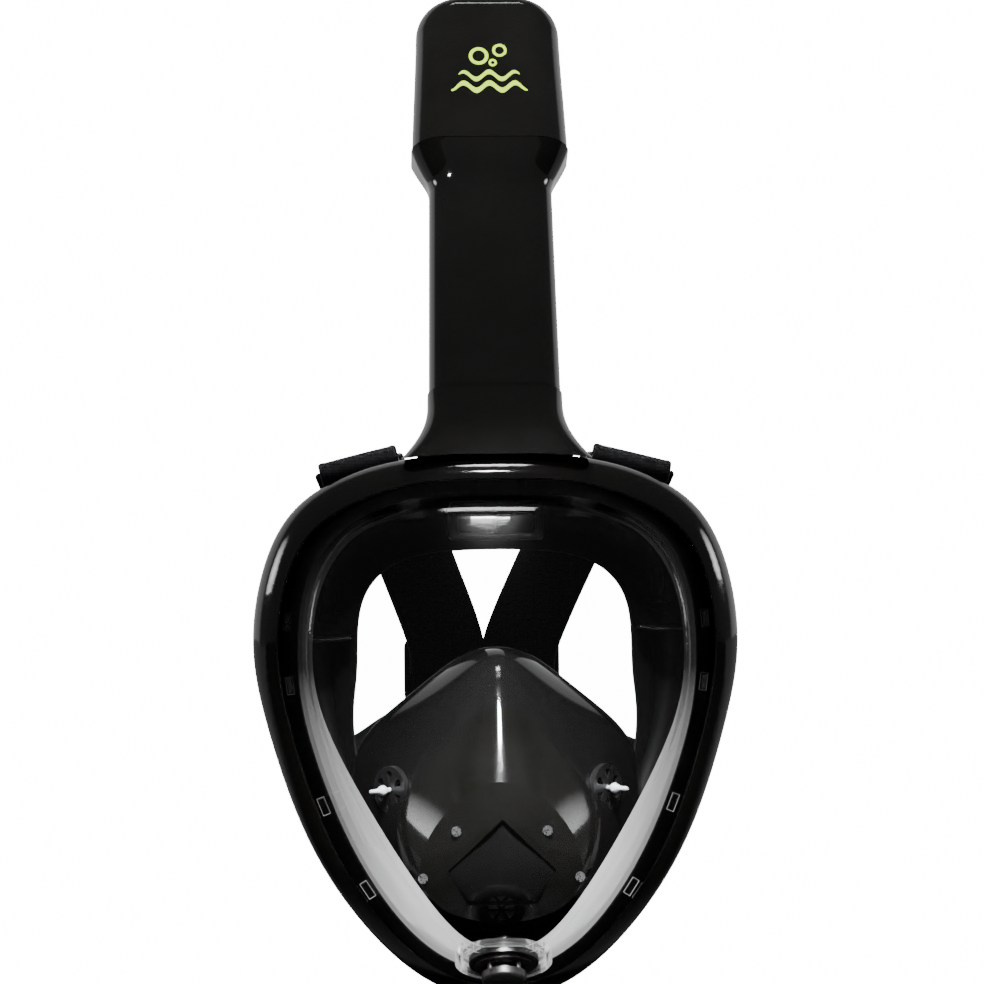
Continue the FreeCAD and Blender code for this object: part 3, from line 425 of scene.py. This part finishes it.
MATERIALS = {
    "gloss_black": plastic("gloss_black", (0.0030, 0.0030, 0.0026), (0.0052, 0.0052, 0.0048), 0.09, coat=0.2),
    "inner_black": plastic("inner_black", (0.006, 0.006, 0.006), (0.011, 0.011, 0.011), 0.34, 0.2),
    "clear_lens": clear_plastic("clear_lens", LENS_TINT),
    "black_silicone": silicone("black_silicone", (0.008, 0.008, 0.008), (0.013, 0.013, 0.013), 0.42),
    "valve_silicone": silicone("valve_silicone", (0.72, 0.75, 0.78), (0.82, 0.85, 0.88), 0.35),
    "seal_rubber": silicone("seal_rubber", (0.012, 0.012, 0.012), (0.02, 0.02, 0.02), 0.5),
    "float_foam": plastic("float_foam", (0.5, 0.52, 0.54), (0.6, 0.62, 0.64), 0.6, 0.4, 900.0),
    "webbing": woven("webbing", (0.0045, 0.0045, 0.0055), (0.011, 0.011, 0.014)),
    "steel": steel("steel"),
    "print_lime": plastic("print_lime", (0.50, 0.86, 0.006), (0.58, 0.94, 0.012), 0.6),
}
CUP_GLOSS = silicone("cup_silicone", (0.0035, 0.0035, 0.0035), (0.006, 0.006, 0.006), 0.11, grain=0.03)
THREAD = silicone("thread", (0.006, 0.006, 0.008), (0.016, 0.016, 0.02), 0.6, sheen=0.3)


def dress_cad_nodes():
    """Gives every CAD node the material of its slot in the record."""
    for entry in frame["record"]["subparts"]:
        node = nodes[entry["node"]]
        node.data.materials.clear()
        node.data.materials.append(MATERIALS[entry["material_slot"]])


# ---------------------------------------------------------------- loops and meshes
SETTLE_ROUNDS = 40         # enough for smooth_loop's poles to stop moving
SHARP_ABOVE = math.radians(50)
MERGE_WITHIN = 2e-6        # metres
EDGE_STEPS = 4             # facets across a plate's rounded edge


def wrap(x, z):
    below = max(0.0, CHIN_START - z)
    return x * x / WRAP + below * below / CHIN_WRAP


def mirror_loop(half):
    """A closed loop from its right half: the same points again on the left, chin to top."""
    return [tuple(p) for p in half] + [(-p[0],) + tuple(p[1:]) for p in half[-2:0:-1]]


def inset(loop, distance):
    """The flat loop moved inward, square to itself."""
    moved = []
    for i, (x, z) in enumerate(loop):
        before, after = loop[i - 1], loop[(i + 1) % len(loop)]
        dx, dz = after[0] - before[0], after[1] - before[1]
        length = math.hypot(dx, dz)
        moved.append((x + dz / length * distance, z - dx / length * distance))
    return moved


def raised(loop, height):
    """The flat loop placed in space, the given height in front of the wrapped parting surface."""
    return [(x, wrap(x, z) - height, z) for x, z in loop]


def smooth_loop(points, steps):
    """Points along the periodic cubic that passes through the loop's points, steps for each of them."""
    points = np.array(points, dtype=float)
    poles = points.copy()
    for _ in range(SETTLE_ROUNDS):
        poles = poles + points - (np.roll(poles, 1, 0) + 4 * poles + np.roll(poles, -1, 0)) / 6
    t = (np.arange(steps) / steps)[None, :, None]
    basis = ((1 - t) ** 3 / 6, (3 * t ** 3 - 6 * t ** 2 + 4) / 6,
             (-3 * t ** 3 + 3 * t ** 2 + 3 * t + 1) / 6, t ** 3 / 6)
    result = sum(b * np.roll(poles, 1 - k, 0)[:, None, :] for k, b in enumerate(basis))
    return result.reshape(-1, 3)


def bezier(rows, t):
    """The point loop at t along the Bezier curve whose poles are the rows."""
    rows = [np.asarray(row) for row in rows]
    while len(rows) > 1:
        rows = [a * (1 - t) + b * t for a, b in zip(rows, rows[1:])]
    return rows[0]


def smooth_path(points, steps):
    """Points along the open curve through the points (Catmull-Rom)."""
    p = [np.array(q, dtype=float) for q in points]
    p = [2 * p[0] - p[1]] + p + [2 * p[-1] - p[-2]]
    out = []
    for a, b, c, d in zip(p, p[1:], p[2:], p[3:]):
        for k in range(steps):
            t = k / steps
            out.append(0.5 * (2 * b + (c - a) * t + (2 * a - 5 * b + 4 * c - d) * t * t
                              + (3 * b - 3 * c + d - a) * t ** 3))
    out.append(p[-2])
    return out


class Shape:
    """Collects vertices (in millimetres) and faces, then becomes a piece."""

    def __init__(self):
        self.points = []
        self.faces = []

    def grid(self, rows, closed=True, ring=False, cap_first=False, cap_last=False):
        """Rows of points joined by quads; closed joins each row's ends, ring joins last row to first."""
        start = len(self.points)
        count = len(rows[0])
        for row in rows:
            self.points.extend(tuple(p) for p in row)
        pairs = list(zip(range(len(rows) - 1), range(1, len(rows))))
        if ring:
            pairs.append((len(rows) - 1, 0))
        for a, b in pairs:
            for i in range(count if closed else count - 1):
                j = (i + 1) % count
                self.faces.append((start + a * count + i, start + a * count + j,
                                   start + b * count + j, start + b * count + i))
        if cap_first:
            self.faces.append(tuple(start + i for i in reversed(range(count))))
        if cap_last:
            self.faces.append(tuple(start + (len(rows) - 1) * count + i for i in range(count)))

    def piece(self, name, slot, body="mask", replaces=(), material=None):
        mesh = bpy.data.meshes.new(name)
        mesh.from_pydata([tuple(c * MM for c in p) for p in self.points], [], self.faces)
        build = bmesh.new()
        build.from_mesh(mesh)
        bmesh.ops.remove_doubles(build, verts=build.verts, dist=MERGE_WITHIN)
        bmesh.ops.recalc_face_normals(build, faces=build.faces)
        build.to_mesh(mesh)
        build.free()
        for face in mesh.polygons:
            face.use_smooth = True
        mesh.set_sharp_from_angle(angle=SHARP_ABOVE)
        thing = bpy.data.objects.new(name, mesh)
        bpy.context.scene.collection.objects.link(thing)
        mesh.materials.append(material or MATERIALS[slot])
        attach(thing, body)
        if replaces:
            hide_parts(*replaces)
        return thing


def rounded(corners, radius, steps=6):
    """A flat closed outline with its corners rounded."""
    out = []
    for i, corner in enumerate(corners):
        p = np.array(corner, dtype=float)
        a = np.array(corners[i - 1], dtype=float) - p
        b = np.array(corners[(i + 1) % len(corners)], dtype=float) - p
        a *= min(radius, np.linalg.norm(a) * 0.45) / np.linalg.norm(a)
        b *= min(radius, np.linalg.norm(b) * 0.45) / np.linalg.norm(b)
        for k in range(steps + 1):
            t = k / steps
            out.append(tuple(p + a * (1 - t) ** 2 + b * t ** 2))
    return out


def shrunk(outline, distance):
    """The flat outline moved inward by the distance, whichever way round it runs."""
    area = sum(a[0] * b[1] - b[0] * a[1] for a, b in zip(outline, outline[1:] + outline[:1]))
    return inset(outline, -distance if area > 0 else distance)


def slab(shape, outline, low, high, edge, place):
    """A plate with rounded edges; place(a, b, height) gives each point its place in space."""
    rows = []
    for turn in range(EDGE_STEPS + 1):
        angle = math.pi / 2 * turn / EDGE_STEPS
        rows.append((edge * (1 - math.sin(angle)), low + edge * (1 - math.cos(angle))))
    rows += [(inward, high - (height - low)) for inward, height in reversed(rows)]
    loops = [[place(a, b, height) for a, b in shrunk(outline, inward)] for inward, height in rows]
    shape.grid(loops, cap_first=True, cap_last=True)


def lathe(shape, profile, origin, axis, count=48):
    """A turned form: profile gives (radius, distance along the axis) from one end to the other."""
    axis = Vector(axis).normalized()
    across = axis.orthogonal().normalized()
    upward = axis.cross(across)
    rows = []
    for radius, distance in profile:
        centre = Vector(origin) + axis * distance
        rows.append([centre + (across * math.cos(2 * math.pi * k / count)
                               + upward * math.sin(2 * math.pi * k / count)) * radius for k in range(count)])
    shape.grid(rows, cap_first=True, cap_last=True)


def on_snorkel(x, y, w):
    """A point given upright at the seam, placed on the leaning snorkel axis."""
    sine, cosine = math.sin(LEAN), math.cos(LEAN)
    return (x, cosine * y + sine * w + SEAM[0], -sine * y + cosine * w + SEAM[1])


def surface_of(thing):
    mesh = thing.data
    return BVHTree.FromPolygons([v.co for v in mesh.vertices], [tuple(f.vertices) for f in mesh.polygons])


# ---------------------------------------------------------------- face skirt
STEPS = 12                 # mesh columns for each point of an outline
LIP_TIMES = [0, 0.06, 0.13, 0.2, 0.28, 0.36, 0.44, 0.52, 0.6, 0.67, 0.74, 0.79, 0.815, 0.83, 0.845, 0.88,
             0.92, 0.96, 1.0]
CREASE_TIME = 0.822        # where the lip starts, on the way from the lens (0) to the face opening (1)
CREASE_HIGH = 1.1
CREASE_TOP, CREASE_TOP_FADE = -5.0, 4.0         # its upper end and how far it takes to reach its full height
CREASE_FOOT, CREASE_FOOT_FADE = -66.0, 16.0
LEDGES = [(-1, -4.2), (1, -1.0)]                # side and height of each cheek's ledge
LEDGE_ENDS = (76.5, 58.0)
LEDGE_STEPS = 12
LEDGE_SAG = -0.8
LEDGE_HALF = 0.75          # half its thickness
RIB_X = 67.0
# Half width, lower and upper edge over the ledge, and height of the stem and of the bar of each T.
RIB_PADS = [(2.6, 9.5, 25.0, 1.2), (4.6, 6.0, 9.8, 1.7)]


def crease_height(z):
    """The lip stands this far proud of the side wall, at the cheeks only."""
    from_top = min(1.0, max(0.0, (CREASE_TOP - z) / CREASE_TOP_FADE))
    from_foot = min(1.0, max(0.0, (z - CREASE_FOOT) / CREASE_FOOT_FADE))
    return CREASE_HIGH * from_top * from_foot


def face_skirt():
    frame_edge, foot, face = mirror_loop(FRAME_EDGE), mirror_loop(LENS_FOOT), mirror_loop(FACE_EDGE)

    def row(loop, height):
        return smooth_loop(raised(loop, height), STEPS)

    bead = inset(frame_edge, 3.4)
    inner = [row(inset(foot, 2.6), -0.4), row(inset(foot, -0.5), -20), row(inset(foot, 0.5), -40),
             row(inset(foot, 10), -42), row(face, -33)]
    outer = [row(inset(face, -0.4), -35), row(inset(foot, 10), -45), row(inset(foot, -3), -43.5),
             row(inset(foot, -3.4), -24), row(inset(foot, -2.3), -13.6)]
    rows = [row(bead, -3.4), row(bead, -0.4)]
    for t in LIP_TIMES:
        line = bezier(inner, t)
        if t > CREASE_TIME:
            share = min(1.0, (1.0 - t) / 0.1)
            for point in line:
                point[1] -= crease_height(point[2]) * share
        rows.append(line)
    middle = row(inset(face, 0.7), -34)
    rows.append(middle)
    rows += [bezier(outer, k / 16) for k in range(17)]
    rows.append(row(inset(foot, -2.3), -3.4))
    shape = Shape()
    shape.grid(rows, ring=True)
    return shape


def skirt_details(shape, skirt):
    """A ledge across each cheek and a T-shaped rib above it, moulded with the skirt."""
    tree = surface_of(skirt)

    def depth(x, z):
        hit = tree.ray_cast(Vector((x, -5, z)) * MM, Vector((0, 1, 0)))
        return hit[0].y / MM if hit[0] else 40.0

    def pad(low, high, proud, across=10, upward=6):
        """A low raised patch with soft edges on the skirt's inner face."""
        rows = []
        for j in range(upward + 1):
            line = []
            for i in range(across + 1):
                x = low[0] + (high[0] - low[0]) * i / across
                z = low[1] + (high[1] - low[1]) * j / upward
                edge = i in (0, across) or j in (0, upward)
                line.append((x, depth(x, z) + (0.3 if edge else -proud), z))
            rows.append(line)
        shape.grid(rows, closed=False)

    half = LEDGE_HALF
    for side, z in LEDGES:
        outer, inner = [side * x for x in LEDGE_ENDS]
        rows = []
        for k in range(LEDGE_STEPS + 1):
            x = outer + (inner - outer) * k / LEDGE_STEPS
            sag = LEDGE_SAG * math.sin(math.pi * k / LEDGE_STEPS)
            back = depth(x, z) + 1.0
            front = min(back - 3.0, 27.0 + 5.0 * k / LEDGE_STEPS)
            ring = [(x, back, z + sag + half), (x, front + half, z + sag + half)]
            for turn in (30, 60, 90, 120, 150):
                angle = math.radians(turn)
                ring.append((x, front + half * (1 - math.sin(angle)), z + sag + half * math.cos(angle)))
            ring += [(x, front + half, z + sag - half), (x, back, z + sag - half)]
            rows.append(ring)
        shape.grid(rows, cap_first=True, cap_last=True)
        stem = side * RIB_X
        for wide, low, high, proud in RIB_PADS:
            pad((stem - wide, z + low), (stem + wide, z + high), proud)


def forehead_duct():
    """The duct's mouth behind the brow: a soft block with a rounded slot, a rib and a rolled lip."""
    shape = Shape()
    block = rounded([(-19.3, 34.8), (19.3, 34.8), (18.4, 50.4), (-18.4, 50.4)], 3.0)
    slot = rounded([(-15.5, 37.2), (15.5, 37.2), (15.5, 45.6), (-15.5, 45.6)], 2.2)
    rows = [(block, 0, 30.5), (block, 0, 16.0), (block, 0.4, 14.8), (block, 1.3, 14.2), (slot, -1.0, 14.1),
            (slot, -0.3, 13.7), (slot, 0.2, 14.0), (slot, 0.5, 15.0), (slot, 0.6, 24.0)]
    loops = [[(x, y, z) for x, z in shrunk(outline, inward)] for outline, inward, y in rows]
    shape.grid(loops, cap_first=True, cap_last=True)
    rib = [[(x, y, z) for x, z in rounded([(-0.8, 36.6), (0.8, 36.6), (0.8, 46.2), (-0.8, 46.2)], 0.6, 3)]
           for y in (24.5, 15.2)]
    rib.append([(x * 0.4, 14.7, z) for x, y, z in rib[1]])
    shape.grid(rib, cap_first=True, cap_last=True)
    return shape


# ---------------------------------------------------------------- nose and mouth cup
CUP_ROWS = 18              # from the rim to the front's edge
FRONT_ROWS = 10            # and on towards the front's middle
FRONT_SPACING = 10.5       # a little over FRONT_ROWS, so that the last row is not a single point


def cup_rows(offset):
    """The cup's outer surface moved inward by the offset: rows from the rim to the front's middle."""
    rim, middle, front = [np.array(mirror_loop(half), dtype=float)
                          for half in (CUP_RIM, CUP_MIDDLE, CUP_FRONT)]
    share = np.zeros((len(rim), 1))
    for i, value in enumerate(BROW_SHARE):
        share[i] = share[-i] = value
    rows = []
    poles = (rim, (rim + middle) / 2, (rim + middle * 4 + front) / 6, (middle + front) / 2, front)
    for pole, (back, up) in zip(poles, BROW_LIFT):
        loop = pole + share * np.array((0.0, back, up))
        inward = np.array(CUP_CENTRE) - loop
        loop = loop + inward / np.linalg.norm(inward, axis=1)[:, None] * offset
        rows.append(smooth_loop(loop, STEPS))
    surface = [bezier(rows, k / CUP_ROWS) for k in range(CUP_ROWS + 1)]
    pole = np.array(CUP_POLE, dtype=float) + np.array((0, offset, 0))
    for k in range(1, FRONT_ROWS + 1):
        share = 1 - k / FRONT_SPACING
        flat = pole + (rows[-1] - pole) * share
        residue = rows[-1][:, 1] - pole[1] - CUP_TILT * (rows[-1][:, 2] - pole[2])
        flat[:, 1] = pole[1] + CUP_TILT * (flat[:, 2] - pole[2]) + residue * share ** 3
        surface.append(flat)
    return surface


def orinasal_cup():
    """The cup: a soft shell with a rolled rim, closed in front behind the mouth plate."""
    outside, inside = cup_rows(0.0), cup_rows(CUP_THICK)
    centre = np.array(CUP_CENTRE, dtype=float)
    rim = outside[0]
    outward = rim - centre
    outward = outward / np.linalg.norm(outward, axis=1)[:, None]
    radius = CUP_THICK / 2
    roll = []
    for degrees in (150, 110, 70, 35):
        angle = math.radians(degrees)
        back = np.array((0, radius * (1 - math.cos(angle)), 0))
        roll.append(rim + outward * radius * math.sin(angle) + back)
    shape = Shape()
    shape.grid(inside[::-1] + roll + outside, cap_first=True, cap_last=True)
    return shape


# ---------------------------------------------------------------- straps
PATH_STEPS = 5             # mesh rows for each point of a band's path
STITCH_PITCH = 2.6
STITCH_GAP = 0.5
STITCH_LIFT = 0.05         # over the cloth
STITCH_INSET = 3.0         # from the yoke's edge
BOX_SIDES = (10, 27)       # the boxes with a diagonal, from the yoke's middle
BOX_HEIGHTS = [(-30, -12), (-66, -50)]


def band_ring(point, along, across, wide, thick):
    """The rounded section of a woven band, with a thicker selvage at each edge."""
    across = (across - along * across.dot(along)).normalized()
    flat = along.cross(across).normalized()
    half, r = wide / 2, thick / 2
    corner = [math.radians(degrees) for degrees in (45, 90, 135)]
    top = [(-half + r, 1.0), (-half + 1.6, 1.12), (-half + 3.4, 0.92), (-half * 0.45, 1.0), (0, 1.02),
           (half * 0.45, 1.0), (half - 3.4, 0.92), (half - 1.6, 1.12), (half - r, 1.0)]
    ring = [(a, r * b) for a, b in top]
    ring += [(half - r + r * math.sin(t), r * math.cos(t)) for t in corner]
    ring += [(a, -r * b) for a, b in reversed(top)]
    ring += [(-half + r - r * math.sin(t), -r * math.cos(t)) for t in corner]
    return [point + across * a + flat * b for a, b in ring]


def band(shape, points, lines, wide, thick):
    """A band through the points; lines gives its width direction at each of them."""
    rows = []
    points = [Vector(p) for p in points]
    last = len(points) - 1
    for i, point in enumerate(points):
        along = (points[min(last, i + 1)] - points[max(0, i - 1)]).normalized()
        rows.append(band_ring(point, along, lines[i], wide, thick))
    shape.grid(rows, cap_first=True, cap_last=True)


def strap(side, bar, bar_line, path, end_line):
    """One band: sewn tail, turn round the clip's bar, and the run to the yoke."""
    bar = Vector((side * bar[0], bar[1], bar[2]))
    first = Vector((side * bar_line[0], bar_line[1], bar_line[2])).normalized()
    last = Vector((side * end_line[0], end_line[1], end_line[2])).normalized()
    run = [Vector((side * x + YOKE_X * (i + 1) / len(path), y, z)) for i, (x, y, z) in enumerate(path)]
    back = run[0] - bar
    back = (back - first * back.dot(first)).normalized()
    up = back.cross(first).normalized()
    if up.z < 0 or (abs(up.z) < 0.5 and up.x * side < 0):
        up = -up
    loop = [bar + back * a + up * b for a, b in TAIL]
    for degrees in (-90, -120, -150, 180, 150, 120, 90):
        angle = math.radians(degrees)
        loop.append(bar + back * BAR_TURN * math.cos(angle) + up * BAR_TURN * math.sin(angle))
    loop.append(bar + back * RUN_START[0] + up * RUN_START[1])
    points = smooth_path([tuple(p) for p in loop + run], PATH_STEPS)
    count = len(points)
    bend = len(loop) * PATH_STEPS
    lines = []
    for i in range(count):
        share = max(0.0, (i - bend) / (count - 1 - bend))
        share = share * share * (3 - 2 * share)
        lines.append((first * (1 - share) + last * share).normalized())
    shape = Shape()
    band(shape, points, lines, STRAP_WIDE, BAND_THICK)
    return shape


def stitch(shape, start, end, normal):
    """One stitch: a small flattened capsule lying on the cloth."""
    along = end - start
    length = along.length
    along.normalize()
    across = along.cross(normal).normalized()
    rows = []
    for share, size in ((0.0, 0.3), (0.12, 0.85), (0.5, 1.0), (0.88, 0.85), (1.0, 0.3)):
        centre = start + along * length * share
        rows.append([centre + across * 0.28 * size * math.cos(a) + normal * 0.22 * size * math.sin(a)
                     for a in (math.radians(60 * k) for k in range(6))])
    shape.grid(rows, cap_first=True, cap_last=True)


def stitch_row(shape, line, normal):
    """Stitches one after another along each leg of a line of points."""
    line = [Vector(p) for p in line]
    for a, b in zip(line, line[1:]):
        span = (b - a).length
        position = 0.0
        while position + STITCH_PITCH - STITCH_GAP <= span:
            start = a + (b - a) * (position / span)
            end = a + (b - a) * ((position + STITCH_PITCH - STITCH_GAP) / span)
            stitch(shape, start, end, normal)
            position += STITCH_PITCH


def yoke():
    shape = Shape()
    outline = rounded(YOKE_OUTLINE, YOKE_CORNER, YOKE_CORNER_STEPS)
    slab(shape, outline, YOKE_LOW, YOKE_HIGH, 0.9, lambda a, b, h: (a + YOKE_X, h, b))
    return shape


def yoke_stitches():
    """A row round the patch's front and back, and on the back a box with one diagonal over each band's end.
    """
    shape = Shape()
    front, back = YOKE_LOW - STITCH_LIFT, YOKE_HIGH + STITCH_LIFT
    outline = shrunk(rounded(YOKE_OUTLINE, YOKE_CORNER, YOKE_CORNER_STEPS), STITCH_INSET)
    corners = outline[::YOKE_CORNER_STEPS + 1] + outline[:1]
    for y, normal in ((front, Vector((0, -1, 0))), (back, Vector((0, 1, 0)))):
        stitch_row(shape, [(x + YOKE_X, y, z) for x, z in corners], normal)
    for side in (1, -1):
        inner, outer = [side * x for x in BOX_SIDES]
        for low, high in BOX_HEIGHTS:
            box = [(inner, low), (outer, low), (outer, high), (inner, high), (inner, low), (outer, high)]
            stitch_row(shape, [(x + YOKE_X, back, z) for x, z in box], Vector((0, 1, 0)))
    return shape


# ---------------------------------------------------------------- valves
def umbrella_valve(side):
    shape = Shape()
    profile = [(1.2, -4.5), (6.5, -4.35), (8.0, -4.15), (8.2, -3.85), (8.0, -3.55), (3.0, -3.3), (1.1, -3.0),
               (0.95, -2.0), (0.95, 0.6), (1.3, 1.3), (1.95, 2.2), (2.15, 3.1), (1.95, 4.0), (1.3, 4.9),
               (0.95, 5.8), (0.9, 8.8), (0.6, 9.5)]
    lathe(shape, profile, (side * CUP_VALVE[0], CUP_VALVE[1], CUP_VALVE[2]),
          (side * CUP_VALVE_AXIS[0], CUP_VALVE_AXIS[1], 0))
    return shape


def purge_flap():
    shape = Shape()
    low = PURGE_FLOOR - 0.5
    profile = [(0.6, 0.0), (7.6, 0.02), (8.25, 0.2), (8.4, 0.45), (8.25, 0.7), (7.4, 0.86), (2.0, 0.95),
               (1.3, 1.2), (1.15, 1.8), (0.7, 2.1)]
    lathe(shape, [(r, low + d) for r, d in profile], PURGE_CENTRE, PURGE_AXIS)
    return shape


def exhale_flap(side):
    shape = Shape()
    low = DECK_TOP + 0.35
    outline = rounded([(side * 13.6, -8.3), (side * 24.3, -8.3), (side * 24.3, 8.3), (side * 13.6, 8.3)], 2.4)
    slab(shape, outline, low, low + 0.9, 0.4, on_snorkel)
    return shape


# ---------------------------------------------------------------- printed emblem
INK_ROWS = (-0.02, 0.12)   # the print's edge under the cap's surface and its face over it
WAVES = [(-6.4, 12.0, 1.9), (-2.4, 9.6, 1.6)]  # height, half width and thickness
WAVE_HIGH = 1.3
WAVE_TURN = 0.78           # radians for each unit along the wave
WAVE_STEPS = 48
BUBBLES = [(-3.2, 4.6, 3.1, 2.0), (3.4, 6.6, 2.3, 1.4), (1.2, 2.2, 1.3, 0.6)]   # place and both radii
BUBBLE_STEPS = 40


def emblem():
    """A printed mark on the cap: three bubbles over two waves."""
    tree = surface_of(nodes["dry_top_cap"])
    inward = Vector(on_snorkel(0, 1, 0)) - Vector(on_snorkel(0, 0, 0))
    sunk, proud = INK_ROWS
    shape = Shape()

    def on_cap(a, b, height):
        start = Vector(on_snorkel(a * EMBLEM_SCALE, -40, EMBLEM_HEIGHT + b * EMBLEM_SCALE)) * MM
        hit = tree.ray_cast(start, inward)[0] / MM
        return tuple(hit - inward * height)

    def strip(upper, lower):
        rows = [[on_cap(a, b, h) for a, b in line] for line, h in
                ((lower, sunk), (lower, proud), (upper, proud), (upper, sunk))]
        shape.grid(rows, closed=False)

    for base, wide, thick in WAVES:
        xs = [-wide + 2 * wide * k / WAVE_STEPS for k in range(WAVE_STEPS + 1)]
        middle = [base + WAVE_HIGH * math.cos(x * WAVE_TURN) for x in xs]
        taper = [thick / 2 * math.sqrt(max(0.02, 1 - (x / wide) ** 4)) for x in xs]
        upper = [(x, m + t) for x, m, t in zip(xs, middle, taper)]
        lower = [(x, m - t) for x, m, t in zip(xs, middle, taper)]
        strip(upper, lower)
    angles = [2 * math.pi * k / BUBBLE_STEPS for k in range(BUBBLE_STEPS)]
    for x, z, outer, inner in BUBBLES:
        rows = []
        for radius, height in ((outer, sunk), (outer, proud), (inner, proud), (inner, sunk)):
            rows.append([on_cap(x + radius * math.cos(a), z + radius * math.sin(a), height) for a in angles])
        shape.grid(rows)
    return shape


# ---------------------------------------------------------------- assembly
def build_pieces():
    skirt_shape = face_skirt()
    skirt = skirt_shape.piece("skirt_body", "black_silicone", replaces=["face_skirt"])
    details = Shape()
    skirt_details(details, skirt)
    details.piece("skirt_ribs", "black_silicone")
    forehead_duct().piece("duct_mouth", "black_silicone", replaces=["forehead_duct"])
    orinasal_cup().piece("cup_shell", "black_silicone", replaces=["orinasal_cup"], material=CUP_GLOSS)
    for side, label in ((1, "right"), (-1, "left")):
        for name, bar, bar_line, path, end_line in (
                ("upper", UPPER_BAR, UPPER_BAR_LINE, UPPER_PATH, UPPER_END_LINE),
                ("lower", LOWER_BAR, LOWER_BAR_LINE, LOWER_PATH, LOWER_END_LINE)):
            band_name = "%s_%s" % (name, label)
            shape = strap(side, bar, bar_line, path, end_line)
            shape.piece("band_" + band_name, "webbing", replaces=["strap_" + band_name])
        umbrella_valve(side).piece("umbrella_valve_" + label, "valve_silicone", "cup_flap_" + label,
                                   ["cup_valve_flap_" + label])
        exhale_flap(side).piece("outlet_flap_" + label, "valve_silicone", "exhale_flap_" + label,
                                ["exhale_flap_" + label])
    yoke().piece("yoke_patch", "webbing", replaces=["strap_yoke"])
    yoke_stitches().piece("yoke_stitches", "webbing", material=THREAD)
    purge_flap().piece("purge_disc", "valve_silicone", "purge_flap", ["purge_valve_flap"])
    emblem().piece("cap_emblem", "print_lime", "snorkel")


dress_cad_nodes()
build_pieces()
make_camera()
make_world()
make_floor()
for light in LIGHTS:
    softbox(*light)
